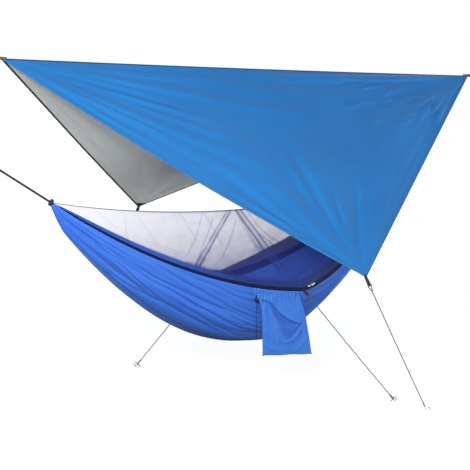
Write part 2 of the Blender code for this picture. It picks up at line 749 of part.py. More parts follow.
def guy(word, corner, hem_way, peg_top, loop_length, loop_name, lead, aside=0.0):
    """A webbing loop sewn on along hem_way, the guy line tied to it, and the peg that holds the line."""
    way = unit(peg_top - corner)
    side = unit(hem_way - way * (hem_way @ way))
    face = np.cross(side, way)
    root = corner + way * lead + face * aside * np.sign(face[1] * corner[1])
    slant = (hem_way @ way) / (hem_way @ side)
    webbing_loop(loop_name, root, way, side, loop_length, "black_webbing", slant)
    bend = 1.2 * guy_radius
    bar_at = loop_length - 0.5 * webbing_thickness - seat_gap - guy_radius + bend
    flat = 0.5 * webbing_width + webbing_thickness + guy_radius - bend
    knot_size = (guy_knot_radius, guy_knot_length)
    start = tied_eye(word + "_guy_top_eye", root + way * bar_at, way, side, bend, flat, guy_eye_length, guy_radius,
                     knot_size, "grey_cord")
    side = unit(np.cross(way, (0.0, 0.0, 1.0)))
    bend = peg_radius + seat_gap + guy_radius
    end = tied_eye(word + "_guy_foot_eye", peg_top, -way, side, bend, 0.0, guy_eye_length, guy_radius, knot_size,
                   "grey_cord")
    share = np.linspace(0.0, 1.0, 20)
    points = start + (end - start) * share[:, None]
    points[:, 2] -= guy_sag * 4.0 * share * (1.0 - share)
    tube(word + "_guy_line", points, guy_radius, "grey_cord")
    inward = unit(np.cross(side, way))
    inward *= -np.sign(inward[2])
    points = [peg_top + inward * (peg_length - peg_above_eye), peg_top + inward * 0.5 * peg_length,
              peg_top - inward * peg_above_eye]
    centre = points[-1] + way * peg_hook_radius
    for angle in np.radians(np.linspace(20.0, 180.0, 8)):
        points.append(centre - way * peg_hook_radius * math.cos(angle)
                      - inward * peg_hook_radius * math.sin(angle))
    points.append(points[-1] + inward * peg_hook_tail)
    tube(word + "_peg", points, peg_radius, "steel")
    print(word, "guy from", start.round(4), "to", end.round(4), "peg", peg_top.round(4))


def guys():
    """The three guy lines that the hammock and the fly show."""
    level = -ground_drop + peg_eye_height
    ground = lambda corner, ahead, out: np.array([corner[0] + ahead, corner[1] + out, level])
    corner = patch_end(FLY_FRONT, FRONT_WAY)
    guy("front", corner, RIDGE_WAY, ground(corner, front_peg_ahead, -front_peg_out), front_strap_length,
        "fly_front_strap", 2.0 * seat_gap)
    near = near_edge(np.array(PULL))
    hem = near_edge(STATIONS)[station_reach + 2 * pull_station] - near_edge(STATIONS)[station_reach]
    aside = webbing_root_gap + webbing_thickness
    guy("near", near, hem, ground(near, near_peg_ahead, -near_peg_out), pullout_loop_length, "near_pullout_loop",
        seat_gap, aside)
    far = far_edge(np.array(0.0))
    guy("far", far, RIDGE_WAY, ground(far, -far_peg_back, far_peg_out), pullout_loop_length, "far_pullout_loop",
        seat_gap, aside)


def zip_frame():
    """Middle of the straight stretch of the zip, its direction, the way up the tape, and its outside."""
    a, b = STATIONS[station_reach + pull_station], STATIONS[station_reach + pull_station + 1]
    ends = []
    for t in (a, b):
        foot, head = near_edge(np.array(t)), net_ridge(np.array(t))
        ends.append((foot + unit(head - foot) * 0.5 * zip_tape_width, unit(head - foot)))
    middle = ends[0][0] + (ends[1][0] - ends[0][0]) * slider_place_share
    way = unit(ends[1][0] - ends[0][0])
    up = ends[0][1] + ends[1][1]
    up = unit(up - way * (up @ way))
    return middle, way, up, np.cross(way, up)


def zips():
    """Two sliders nose to nose on the straight stretch of the zip, each with its pull."""
    middle, way, up, out = zip_frame()
    out = out * (1.0 if out[1] < 0 else -1.0)
    lift = 0.5 * tape_thickness + 2.0 * seat_gap + 0.5 * slider_height
    for word, sign in (("left", -1.0), ("right", 1.0)):
        centre = middle + way * sign * 0.5 * slider_spacing + out * lift
        name = "zip_slider_" + word
        slider = block(name, (slider_length, slider_width, slider_height), "slider_metal",
                       frame_of(centre, way, out), bevel=slider_bevel)
        top = centre + out * 0.5 * slider_height
        arch = []
        for angle in np.radians(np.linspace(0.0, 180.0, 9)):
            arch.append(top + way * slider_bridge_half * math.cos(angle)
                        + out * (slider_bridge_rise * math.sin(angle) - slider_bridge_radius * 0.5))
        bridge = as_mesh(tube(name + "_bridge_cutter", arch, slider_bridge_radius, "slider_metal"))
        CUTTERS.objects.link(bridge)
        PARTS.objects.unlink(bridge)
        cut(slider, bridge, "UNION")
        hinge = top + out * (0.5 * pull_thickness + pull_lift)
        place = frame_of(hinge + way * sign * (0.5 * pull_length - 0.5 * pull_bar), way, out)
        pull = block("zip_pull_" + word, (pull_length, pull_width, pull_thickness), "slider_metal", place)
        slot_at = hinge + way * sign * (0.5 * pull_bar + 0.5 * pull_slot_length)
        slot = block(word + "_pull_slot_cutter", (pull_slot_length, pull_slot_width, cut_overrun), "slider_metal",
                     frame_of(slot_at, way, out), group=CUTTERS)
        cut(pull, slot)
        print("slider", word, centre.round(5), "way", way.round(5), "up", up.round(5), "hinge", hinge.round(5))


def pouch_frame():
    """The pouch's hang line: its middle, its direction, its outside, and its length."""
    ends = []
    for share in pouch_reach_shares:
        edge = near_edge(STATIONS)
        ends.append(np.array([np.interp(share, STATIONS, edge[:, k]) for k in range(3)]))
    way = ends[1] - ends[0]
    level = unit((way[0], way[1], 0.0))
    out = np.array([level[1], -level[0], 0.0])
    middle = 0.5 * (ends[0] + ends[1])
    return middle, level, out, ends


def pouch():
    """The stuff pouch under its header strip, and the drawcord with its cord lock."""
    middle, way, out, ends = pouch_frame()
    down = np.array([0.0, 0.0, -1.0])
    offset = 0.5 * cloth_thickness + seat_gap + 0.5 * tab_thickness + pouch_clear
    edge = near_edge(STATIONS)
    lowest = min(np.interp(0.0, STATIONS, edge[:, 2]), ends[1][2])
    hinge = np.array([middle[0], middle[1], lowest - pouch_drop]) + out * offset

    def header(u, v):
        hem = np.stack([np.interp(u, STATIONS, edge[:, k]) for k in range(3)], axis=-1)
        hem = hem + out * offset - np.array([0.0, 0.0, seat_gap])
        foot = hinge + way * ((hem - hinge) @ way)[..., None]
        return hem + (foot - hem) * v[..., None]
    header_places = (pouch_reach_shares[0], 0.0, pouch_reach_shares[1])
    sheet("pouch_header", header, header_places, (0.0, 1.0), tab_thickness, "body_cloth")
    rings = []
    for share, _, _ in pouch_side_shares:
        left, right = pouch_sides(share)
        swell = math.sin(math.pi * share) ** 0.7 if 0.0 < share < 1.0 else 0.0
        rim = pouch_hem_thickness + (pouch_foot_thickness - pouch_hem_thickness) * share
        thick = rim + (pouch_thickness - rim) * swell
        centre = hinge + down * (pouch_swing_gap + pouch_height * share) + way * (0.5 * (left + right))
        rings.append(rounded_slab(centre, way, out, right - left, thick))
    loft("pouch_bag", rings, "body_cloth")
    drawcord(hinge, way, out, down)
    print("pouch hinge", hinge.round(5), "way", way.round(5), "out", out.round(5))


def pouch_sides(level):
    """Where the pouch's two sides are at one level, along its hang line from the hinge's middle."""
    levels, left, right = zip(*pouch_side_shares)
    return [pouch_top_width * float(np.interp(level, levels, side)) for side in (left, right)]


def rounded_slab(centre, way, out, width, thick, count=24):
    """Points of a flat oval with blunt ends, for one level of the pouch."""
    turn = np.linspace(0.0, 2.0 * np.pi, count, endpoint=False)
    c, s = np.cos(turn), np.sin(turn)
    x = 0.5 * width * np.sign(c) * np.abs(c) ** slab_end_share
    y = 0.5 * thick * np.sign(s) * np.abs(s) ** slab_face_share
    return [centre + way * a + out * b for a, b in zip(x, y)]


def slab_half(width, thick, x):
    """Half the thickness of that flat oval at a distance x from its middle."""
    c = abs(2.0 * x / width) ** (1.0 / slab_end_share)
    return 0.5 * thick * (1.0 - c * c) ** (0.5 * slab_face_share)


def smooth_route(route, count):
    """Points at even spacing on one smooth curve through the route's own points."""
    route = np.asarray(route, float)
    padded = np.vstack([2.0 * route[0] - route[1], route, 2.0 * route[-1] - route[-2]])
    fine = []
    for a, b, c, d in zip(padded, padded[1:], padded[2:], padded[3:]):
        for s in np.linspace(0.0, 1.0, 20, endpoint=False):
            fine.append(0.5 * (2.0 * b + (c - a) * s + (2.0 * a - 5.0 * b + 4.0 * c - d) * s**2
                               + (3.0 * b - a - 3.0 * c + d) * s**3))
    fine = np.array(fine + [route[-1]])
    run = np.concatenate([[0.0], np.cumsum(np.linalg.norm(np.diff(fine, axis=0), axis=1))])
    want = np.linspace(0.0, run[-1], count)
    return np.stack([np.interp(want, run, fine[:, k]) for k in range(3)], axis=1)


def drawcord(hinge, way, out, down):
    """The two tails of the drawcord, their end knots, and the sprung lock that slides on them."""
    surface = 0.5 * pouch_thickness
    reach = 0.5 * pouch_top_width - 0.5 * lock_length - button_proud
    corner = hinge - way * reach
    away = surface + lock_radius + seat_gap
    left, right = pouch_sides(drawcord_exit_drop / pouch_height)
    exit_half = slab_half(right - left, pouch_hem_thickness, reach + 0.5 * (left + right))
    for word, sign in (("inner", -1.0), ("outer", 1.0)):
        cord_out = away + sign * 0.5 * drawcord_spacing
        exit_out = exit_half + 2.0 * seat_gap
        line = corner + out * cord_out
        shift = -down * (0.5 * sign * drawcord_spacing)
        route = [corner + out * exit_out + down * drawcord_exit_drop + shift,
                 corner + out * (exit_out + 0.72 * (cord_out - exit_out)) + down * (drawcord_exit_drop
                                                                                   + 0.22 * drawcord_bend) + shift]
        straight_top = drawcord_exit_drop + drawcord_bend
        for share in (0.0, 0.15, 0.3, 0.45, 0.6, 0.8, 1.0):
            route.append(line + down * (straight_top + (drawcord_drop - straight_top) * share))
        tube("drawcord_" + word + "_tail", smooth_route(route, 26), drawcord_radius, "black_rope")
        print("tail route", word, [point.round(4).tolist() for point in route])
    knot("drawcord_knot", corner + out * away + down * (drawcord_drop + seat_gap + drawcord_knot_length), -down,
         drawcord_knot_radius, drawcord_knot_length, "black_rope")
    centre = corner + out * away + down * lock_drop
    half = 0.5 * lock_length
    profile = [(0.0, half), (lock_radius - lock_bevel, half), (lock_radius, half - lock_bevel),
               (lock_radius, lock_bevel - half), (lock_radius - lock_bevel, -half), (0.0, -half)]
    place = frame_of(centre, out, -way)
    body = turned("cord_lock_body", profile, "lock_plastic", place, steps=16)
    inner = half - lock_wall
    bore = button_radius + button_bore_gap
    hollow = turned("lock_bore_cutter", [(0.0, half + cut_overrun), (bore, half + cut_overrun), (bore, -inner),
                                         (0.0, -inner)], "lock_plastic", place, steps=16, group=CUTTERS)
    cut(body, hollow)
    slot_half = drawcord_radius + cord_slot_gap
    slot_deep = 0.5 * drawcord_spacing + drawcord_radius + cord_slot_gap
    cord_way = block("lock_slot_cutter", (2.0 * slot_deep, 2.0 * (lock_radius + cut_overrun), 2.0 * slot_half),
                     "lock_plastic", place, group=CUTTERS)
    cut(body, cord_way)
    button_foot = button_travel + seat_gap - inner
    button_top = half + button_proud
    button = turned("cord_lock_button", [(0.0, button_top), (button_radius - lock_bevel, button_top),
                                         (button_radius, button_top - lock_bevel), (button_radius, button_foot),
                                         (0.0, button_foot)], "lock_plastic", place, steps=14)
    window = 2.0 * slot_half + button_travel
    opening = block("button_slot_cutter", (2.0 * slot_deep, 2.0 * (button_radius + cut_overrun), window),
                    "lock_plastic", frame_of(centre - way * 0.5 * button_travel, out, -way), group=CUTTERS)
    cut(button, opening)
    print("lock centre", centre.round(5))


hammock()
suspension()
fly()
guys()
zips()
pouch()
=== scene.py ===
"""Looks of the hammock tent: a hammock with a sewn-in insect net under a square rain fly.

Metres, +Z up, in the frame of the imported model. The file follows the object piece by piece.
"""
import math

import bpy
import numpy as np
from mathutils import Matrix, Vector


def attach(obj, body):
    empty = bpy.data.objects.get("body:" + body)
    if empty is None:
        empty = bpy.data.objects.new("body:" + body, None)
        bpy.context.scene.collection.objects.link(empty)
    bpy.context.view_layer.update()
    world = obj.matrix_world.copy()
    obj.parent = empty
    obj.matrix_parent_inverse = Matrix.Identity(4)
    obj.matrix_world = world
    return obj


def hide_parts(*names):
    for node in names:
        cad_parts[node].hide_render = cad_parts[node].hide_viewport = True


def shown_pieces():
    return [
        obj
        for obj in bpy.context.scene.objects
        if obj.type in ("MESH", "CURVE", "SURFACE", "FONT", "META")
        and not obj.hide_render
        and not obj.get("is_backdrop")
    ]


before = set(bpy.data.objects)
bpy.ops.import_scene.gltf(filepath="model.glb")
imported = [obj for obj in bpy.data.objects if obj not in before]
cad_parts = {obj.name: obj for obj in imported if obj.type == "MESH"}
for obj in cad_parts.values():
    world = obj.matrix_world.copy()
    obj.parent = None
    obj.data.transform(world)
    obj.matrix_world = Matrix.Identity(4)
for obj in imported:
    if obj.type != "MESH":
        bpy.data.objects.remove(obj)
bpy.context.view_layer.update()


# Studio: camera, floor, light
# The set is a pale sheet of floor under a white room. One broad lamp at the front left lights it all, and
# four weak ones lift the right end, the fly's underside, the inner wall and the ripples at the right corner.
CAMERA_PLACE = Vector((-3.7312, -8.5968, 0.6559))
CAMERA_WAY = Vector((0.525, 0.8429, -0.1176))
CAMERA_LENS = 137.87
GROUND = -1.350

scene = bpy.context.scene
scene.view_settings.view_transform = "Standard"
scene.view_settings.look = "None"
lens = bpy.data.cameras.new("camera")
lens.lens = CAMERA_LENS
lens.sensor_width = 36.0
lens.clip_end = 200.0
camera = bpy.data.objects.new("camera", lens)
scene.collection.objects.link(camera)
camera.location = CAMERA_PLACE
camera.rotation_euler = CAMERA_WAY.to_track_quat("-Z", "Y").to_euler()
scene.camera = camera


def new_material(name, roughness=0.5, shine=0.5, sheen=0.0):
    """A material with its node tree, and that tree's Principled shader with its even values set."""
    made = bpy.data.materials.new(name)
    made.use_nodes = True
    shader = made.node_tree.nodes["Principled BSDF"]
    shader.inputs["Roughness"].default_value = roughness
    shader.inputs["Specular IOR Level"].default_value = shine
    shader.inputs["Sheen Weight"].default_value = sheen
    return made, made.node_tree, shader


def wired(tree, kind, settings=(), **links):
    """A node of that kind with its settings, and its inputs linked or set by name or number."""
    node = tree.nodes.new(kind)
    for key, value in dict(settings).items():
        setattr(node, key, value)
    for key, value in links.items():
        spot = node.inputs[int(key[1:])] if key[1:].isdigit() else node.inputs[key]
        if isinstance(value, bpy.types.NodeSocket):
            tree.links.new(value, spot)
        else:
            spot.default_value = value
    return node


def calc(tree, work, a, b=0.0, c=0.0):
    """The result of one Math node."""
    return wired(tree, "ShaderNodeMath", {"operation": work}, i0=a, i1=b, i2=c).outputs[0]


def floor():
    """A round pale floor: it keeps a faint shadow near the hammock and fades into the white room."""
    count, radius, middle = 96, 60.0, 1.5
    turn = np.linspace(0.0, 2.0 * np.pi, count, endpoint=False)
    spots = [(middle + radius * math.cos(a), radius * math.sin(a), GROUND - 0.0005) for a in turn]
    mesh = bpy.data.meshes.new("floor")
    mesh.from_pydata(spots, [], [tuple(range(count))])
    ground = bpy.data.objects.new("floor", mesh)
    scene.collection.objects.link(ground)
    made, tree, shader = new_material("floor_paint", 1.0, 0.0)
    shader.inputs["Base Color"].default_value = (0.20, 0.20, 0.20, 1.0)
    place = wired(tree, "ShaderNodeTexCoord").outputs["Object"]
    reach = wired(tree, "ShaderNodeVectorMath", {"operation": "DISTANCE"}, i0=place, i1=(1.6, 0.0, GROUND))
    near, far, near_glow, far_glow = 1.0, 7.0, 0.91, 1.0
    fade = wired(tree, "ShaderNodeMapRange", i0=reach.outputs["Value"], i1=near, i2=far, i3=near_glow,
                 i4=far_glow)
    glow = wired(tree, "ShaderNodeEmission", Strength=fade.outputs["Result"])
    both = wired(tree, "ShaderNodeAddShader", i0=shader.outputs[0], i1=glow.outputs[0])
    seen = wired(tree, "ShaderNodeLightPath").outputs["Is Camera Ray"]
    pick = wired(tree, "ShaderNodeMixShader", i0=seen, i1=shader.outputs[0], i2=both.outputs[0])
    tree.links.new(pick.outputs[0], tree.nodes["Material Output"].inputs["Surface"])
    mesh.materials.append(made)
    ground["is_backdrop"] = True


def room():
    """White to the camera and in reflections; a softer, slightly blue fill for everything else."""
    world = bpy.data.worlds.new("room")
    scene.world = world
    world.use_nodes = True
    tree = world.node_tree
    fill = tree.nodes["Background"]
    fill.inputs["Color"].default_value = (0.78, 0.88, 1.12, 1.0)
    fill.inputs["Strength"].default_value = 0.34
    white = wired(tree, "ShaderNodeBackground", Color=(1.0, 1.0, 1.0, 1.0), Strength=1.0)
    ray = wired(tree, "ShaderNodeLightPath").outputs
    seen = ray["Is Camera Ray"]
    for kind in ("Is Glossy Ray", "Is Transmission Ray"):
        seen = calc(tree, "MAXIMUM", seen, ray[kind])
    pick = wired(tree, "ShaderNodeMixShader", i0=seen, i1=fill.outputs[0], i2=white.outputs[0])
    tree.links.new(pick.outputs[0], tree.nodes["World Output"].inputs["Surface"])


def lamp(name, place, target, size, power, color=(1.0, 1.0, 1.0)):
    """A square area lamp that looks at the target and doesn't show in the picture itself."""
    light = bpy.data.lights.new(name, "AREA")
    light.shape = "SQUARE"
    light.size = size
    light.energy = power
    light.color = color
    thing = bpy.data.objects.new(name, light)
    scene.collection.objects.link(thing)
    thing.location = place
    thing.rotation_euler = (Vector(target) - Vector(place)).to_track_quat("-Z", "Y").to_euler()
    thing.visible_camera = False


floor()
room()
lamp("key", (-1.8, -3.9, 0.90), (1.6, -0.3, -0.3), 0.9, 285.0, (1.0, 0.98, 0.94))
lamp("side", (4.2, -1.5, -0.75), (2.6, -0.25, -0.3), 0.5, 28.0)
lamp("bounce", (0.6, 1.0, -1.2), (1.0, 0.6, 0.15), 1.0, 3.7)
lamp("inner", (2.60, -0.20, 0.0), (2.3, 0.35, -0.75), 0.4, 1.4)
lamp("glint", (5.4, -2.2, 2.7), (3.0, -0.3, 0.2), 0.5, 12.0)


# Suspension ropes
# Two black braided ropes, 11 mm thick: a long one at the left and a short loop at the right.
# Each is tied round its carabiner, and runs out of the noose that cinches the gathered cloth.
LEFT_END = np.array([0.475, 0.0, -0.300])
RIGHT_END = np.array([2.815, 0.0, -0.271])
LEFT_PULL = np.array([-0.8455, 0.0, 0.5340])
RIGHT_PULL = np.array([0.6820, 0.0, 0.7314])
ROPE = 0.011


def unit(vector):
    """The vector at length one."""
    vector = np.asarray(vector, float)
    return vector / np.linalg.norm(vector)


def new_piece(name, points, faces, material, body):
    """A smooth mesh piece at the origin, with its material, riding on its body."""
    mesh = bpy.data.meshes.new(name)
    mesh.from_pydata(np.asarray(points).reshape(-1, 3).tolist(), [], faces)
    mesh.shade_smooth()
    mesh.materials.append(material)
    thing = bpy.data.objects.new(name, mesh)
    scene.collection.objects.link(thing)
    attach(thing, body)
    return thing


def grid_faces(rows, columns, wrap=False):
    """Quads of a grid of points; wrap joins the last column to the first."""
    index = np.arange(rows * columns).reshape(rows, columns)
    if wrap:
        index = np.hstack([index, index[:, :1]])
    quads = np.stack([index[:-1, :-1], index[:-1, 1:], index[1:, 1:], index[1:, :-1]], axis=-1)
    return quads.reshape(-1, 4).tolist()


def face_uv(thing, u, v):
    """Writes the UV map "along" from the two numbers that each vertex has, most of them in metres."""
    layer = thing.data.uv_layers.new(name="along")
    corner = np.empty(len(thing.data.loops), int)
    thing.data.loops.foreach_get("vertex_index", corner)
    spots = np.stack([np.asarray(u, float).ravel()[corner], np.asarray(v, float).ravel()[corner]], axis=1)
    layer.data.foreach_set("uv", spots.ravel())


def run_length(path):
    """Distance along the path at each of its points."""
    return np.concatenate([[0.0], np.cumsum(np.linalg.norm(np.diff(path, axis=0), axis=1))])


def even(path, count):
    """The same route with points at even spacing, on a smooth curve through the given points."""
    path = np.asarray(path, float)
    padded = np.vstack([2.0 * path[0] - path[1], path, 2.0 * path[-1] - path[-2]])
    a, b, c, d = (padded[k:len(padded) - 3 + k, None] for k in range(4))
    s = np.linspace(0.0, 1.0, 16, endpoint=False)[:, None]
    fine = 0.5 * (2.0 * b + (c - a) * s + (2.0 * a - 5.0 * b + 4.0 * c - d) * s**2
                  + (3.0 * b - a - 3.0 * c + d) * s**3)
    fine = np.vstack([fine.reshape(-1, 3), path[-1]])
    run = run_length(fine)
    want = np.linspace(0.0, run[-1], count)
    return np.stack([np.interp(want, run, fine[:, k]) for k in range(3)], axis=1)


def round_faces(rows, sides):
    """Faces of a round piece that is closed at both ends: quads between its rings, and two caps."""
    last = (rows - 1) * sides
    return grid_faces(rows, sides, wrap=True) + [tuple(range(sides))[::-1], tuple(range(last, last + sides))]


def tube(name, path, radius, material, sides=12, body="tent"):
    """A round cord along the path; u runs along it in metres, and v once round it from 0 to 1."""
    path = np.asarray(path, float)
    tangent = np.gradient(path, axis=0)
    tangent /= np.linalg.norm(tangent, axis=1)[:, None]
    side = np.cross(tangent[0], (0.31, 0.12, 0.94))
    turn = np.linspace(0.0, 2.0 * np.pi, sides, endpoint=False)[:, None]
    rings = []
    for spot, way in zip(path, tangent):
        side = unit(side - way * (side @ way))
        rings.append(spot + radius * (side * np.cos(turn) + np.cross(way, side) * np.sin(turn)))
    thing = new_piece(name, rings, round_faces(len(path), sides), material, body)
    share = np.linspace(0.0, 1.0, sides, endpoint=False)
    face_uv(thing, np.repeat(run_length(path), sides), np.tile(share, len(path)))
    mend_seam(thing, sides)
    return thing


def mend_seam(thing, sides):
    """Where a quad crosses the tube's seam, its v runs on past one instead of back to nought."""
    layer = thing.data.uv_layers[0].data
    spots = np.empty(2 * len(layer), np.float32)
    layer.foreach_get("uv", spots)
    v = spots[:-4 * sides].reshape(-1, 4, 2)[..., 1]
    crossed = v.max(axis=1) - v.min(axis=1) > 0.5
    v[crossed[:, None] & (v < 0.5)] += 1.0
    layer.foreach_set("uv", spots)


def noise(tree, place, scale, detail, roughness=0.5):
    """The soft value, about a half on average, of a noise over a place."""
    return wired(tree, "ShaderNodeTexNoise", Vector=place, Scale=scale, Detail=detail,
                 Roughness=roughness).outputs["Fac"]


def axes(tree, place):
    """The three numbers of a place, as links."""
    return wired(tree, "ShaderNodeSeparateXYZ", i0=place).outputs


def new_group(name, **values):
    """An empty shader group that takes the place "Along" and the named numbers; returns it and its inputs."""
    group = bpy.data.node_groups.new(name, "ShaderNodeTree")
    group.interface.new_socket("Along", in_out="INPUT", socket_type="NodeSocketVector")
    for label, value in values.items():
        group.interface.new_socket(label, in_out="INPUT", socket_type="NodeSocketFloat").default_value = value
    return group, group.nodes.new("NodeGroupInput").outputs


def end_group(group, **results):
    """Gives the group a number output for each named result."""
    for label in results:
        group.interface.new_socket(label, in_out="OUTPUT", socket_type="NodeSocketFloat")
    wired(group, "NodeGroupOutput", **results)
    return group


def braid_group():
    """Strands that cross as they wind round a cord: height is the larger of the two crossing sine waves."""
    group, given = new_group("braid", Pitch=0.012, Strands=6.0)
    axis = axes(group, given["Along"])
    run = calc(group, "DIVIDE", axis[0], given["Pitch"])
    turn = calc(group, "MULTIPLY", axis[1], given["Strands"])
    waves = []
    for work in ("ADD", "SUBTRACT"):
        phase = calc(group, work, run, turn)
        waves.append(calc(group, "SINE", calc(group, "MULTIPLY", phase, 2.0 * math.pi)))
    height = calc(group, "MULTIPLY_ADD", calc(group, "MAXIMUM", *waves), 0.5, 0.5)
    fuzz = noise(group, given["Along"], 900.0, 2.0)
    # Shade is random fibre tone plus painted shade: darker in the grooves, lighter on the strand crowns.
    shade = calc(group, "MULTIPLY_ADD", fuzz, 0.4, calc(group, "MULTIPLY", height, 0.6))
    return end_group(group, Height=height, Shade=shade)


def use_group(tree, group, **links):
    """The results of the shader group, with its inputs linked or set by name."""
    return wired(tree, "ShaderNodeGroup", {"node_tree": group}, **links).outputs


def blend_color(tree, factor, low, high):
    """A colour between two others, by a factor; each is a colour or a link."""
    mix = tree.nodes.new("ShaderNodeMix")
    mix.data_type = "RGBA"
    for spot, value in ((mix.inputs[0], factor), (mix.inputs[6], low), (mix.inputs[7], high)):
        if isinstance(value, bpy.types.NodeSocket):
            tree.links.new(value, spot)
        else:
            spot.default_value = value if isinstance(value, float) else (*value, 1.0)
    return mix.outputs[2]


def emboss(tree, shader, height, distance):
    """Bump of that height, in metres, on the shader."""
    bump = wired(tree, "ShaderNodeBump", Strength=1.0, Distance=distance, Height=height)
    tree.links.new(bump.outputs["Normal"], shader.inputs["Normal"])


def uv_of(tree):
    """The place on the piece's UV map."""
    return wired(tree, "ShaderNodeUVMap", {"uv_map": "along"}).outputs["UV"]


BRAID = braid_group()


def rope_material(name, dark, light, pitch, strands, depth):
    """Braided cord: matt fibre, with painted shade: lighter where a strand stands proud, darker in the
    grooves.
    """
    made, tree, shader = new_material(name, 0.75, 0.15, 0.08)
    braid = use_group(tree, BRAID, Along=uv_of(tree), Pitch=pitch, Strands=strands)
    tree.links.new(blend_color(tree, braid["Shade"], dark, light), shader.inputs["Base Color"])
    emboss(tree, shader, braid["Height"], depth)
    return made


BLACK_ROPE = rope_material("black_braid", (0.004, 0.004, 0.005), (0.022, 0.022, 0.024), 0.016, 5.0, 0.0009)


def knot(name, start, way, radius, length, material, body="tent"):
    """A tied knot: a barrel whose radius swells in the middle, with the turns of the line wound round it."""
    way = unit(way)
    side = unit(np.cross(way, (0.3, 1.0, 0.1)))
    up = np.cross(way, side)
    levels, sides, wraps = 40, 28, 3.0
    share = np.repeat(np.linspace(0.0, 1.0, levels)[:, None], sides, axis=1)
    turn = np.tile(np.linspace(0.0, 2.0 * np.pi, sides, endpoint=False), (levels, 1))
    swell = 0.50 + 0.50 * np.sin(np.pi * share) ** 0.45
    ridge = np.abs(np.sin(np.pi * (wraps * share - turn / (2.0 * np.pi)))) ** 0.6
    wide = radius * swell * (0.78 + 0.22 * ridge)
    points = (np.asarray(start) + way * (length * share)[..., None]
              + side * (wide * np.cos(turn))[..., None] + up * (wide * np.sin(turn))[..., None])
    thing = new_piece(name, points, round_faces(levels, sides), material, body)
    face_uv(thing, turn * radius, share * wraps)
    return thing


def eye_route(bar, way, side, bend, half_flat, length, tip, sunk):
    """Centreline of a tied eye: from inside its knot, round the bar, and back into the knot."""
    way, side, bar = unit(way), unit(side), np.asarray(bar, float)
    near = np.radians(np.linspace(90.0, 180.0, 5))
    far = np.radians(np.linspace(180.0, 270.0, 5))
    head = bar + way * (length + sunk)
    reach = side * (half_flat + bend)
    route = [head + side * tip]
    for share in (0.35, 0.65, 0.9):
        route.append(route[0] + (bar + reach - route[0]) * share)
    for angles, shift in ((near, half_flat), (far if half_flat else far[1:], -half_flat)):
        for angle in angles:
            route.append(bar + way * bend * math.cos(angle) + side * (shift + bend * math.sin(angle)))
    end = head - side * tip
    for share in (0.1, 0.35, 0.65, 1.0):
        route.append(bar - reach + (end - bar + reach) * share)
    return even(route, 60)


def tied_eye(name, bar, way, side, bend, half_flat, length, cord_radius, knot_size, material):
    """A tied eye: its loop of line, its knot, and the loop's centreline."""
    wide, tall = knot_size
    route = eye_route(bar, way, side, bend, half_flat, length, 1.15 * cord_radius, 0.35 * tall)
    loop = tube(name + "_loop", route, cord_radius, material, sides=14)
    lump = knot(name + "_knot", np.asarray(bar) + unit(way) * length, way, wide, tall, material)
    return loop, lump, route


SIDEWAYS = np.array([0.0, 1.0, 0.0])
BAR_REACH = 0.070
ROPE_BEND = 0.0099
ROPE_EYE = 0.034
ROPE_KNOT = (0.0105, 0.022)
KNOT_GAP = 0.0004
NECK = 0.0104


def suspension():
    """The left rope from the cinched cloth to its carabiner, and the short loop at the right."""
    foot = -LEFT_PULL * BAR_REACH
    loop, lump, route = tied_eye("left_rope_eye_tied", foot, -LEFT_PULL, SIDEWAYS, ROPE_BEND, 0.0, ROPE_EYE,
                                 0.5 * ROPE, ROPE_KNOT, BLACK_ROPE)
    start = LEFT_END + LEFT_PULL * NECK
    end = foot - LEFT_PULL * (ROPE_EYE + ROPE_KNOT[1] + KNOT_GAP)
    path = start + (end - start) * np.linspace(0.0, 1.0, 60)[:, None]
    line = tube("left_rope_braided", path, 0.5 * ROPE, BLACK_ROPE, sides=16)
    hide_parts("left_rope")
    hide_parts("left_rope_eye")
    foot = RIGHT_END + RIGHT_PULL * (NECK + ROPE_KNOT[1] + ROPE_EYE)
    loop, lump, route = tied_eye("right_loop_tied", foot, -RIGHT_PULL, SIDEWAYS, ROPE_BEND, 0.0, ROPE_EYE,
                                 0.5 * ROPE, ROPE_KNOT, BLACK_ROPE)
    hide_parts("right_loop")


suspension()


# Guy lines
# Three grey braided polyester lines, 5 mm thick, each tied to its webbing loop and pegged to the ground.
# They hold out the fly's front corner and the hammock's two long edges.
GUY = 0.005
GUY_EYE = 0.020
GUY_KNOT = (0.0045, 0.010)
GUY_SAG = 0.004
GREY_CORD = rope_material("grey_braid", (0.030, 0.031, 0.030), (0.120, 0.122, 0.118), 0.009, 4.0, 0.0005)
STRAP_BEND, STRAP_HALF = 0.003, 0.0089
PEG_BEND = 0.0054
RIDGE_WAY = np.array([0.99902, 0.0, -0.04432])
NEAR_HEM_WAY = np.array([0.9017, 0.4130, 0.1280])
GUY_RUNS = {
    "front": ((1.7282, -1.1717, -0.7253), (1.9452, -1.3298, -1.3064), (1.9555, -1.3373, -1.3340), RIDGE_WAY),
    "near": ((1.8102, -0.4925, -0.8607), (1.9498, -1.0327, -1.3149), (1.9557, -1.0556, -1.3340),
             NEAR_HEM_WAY),
    "far": ((1.6056, 0.4158, -0.9226), (1.2937, 0.5137, -1.3108), (1.2750, 0.5197, -1.3340), RIDGE_WAY),
}
GUY_RUNS = {word: [np.array(place) for place in run] for word, run in GUY_RUNS.items()}


def hang_line(start, end, sag):
    """Points from start to end with a small sag between them."""
    share = np.linspace(0.0, 1.0, 60)
    path = start + (end - start) * share[:, None]
    path[:, 2] -= sag * 4.0 * share * (1.0 - share)
    return path


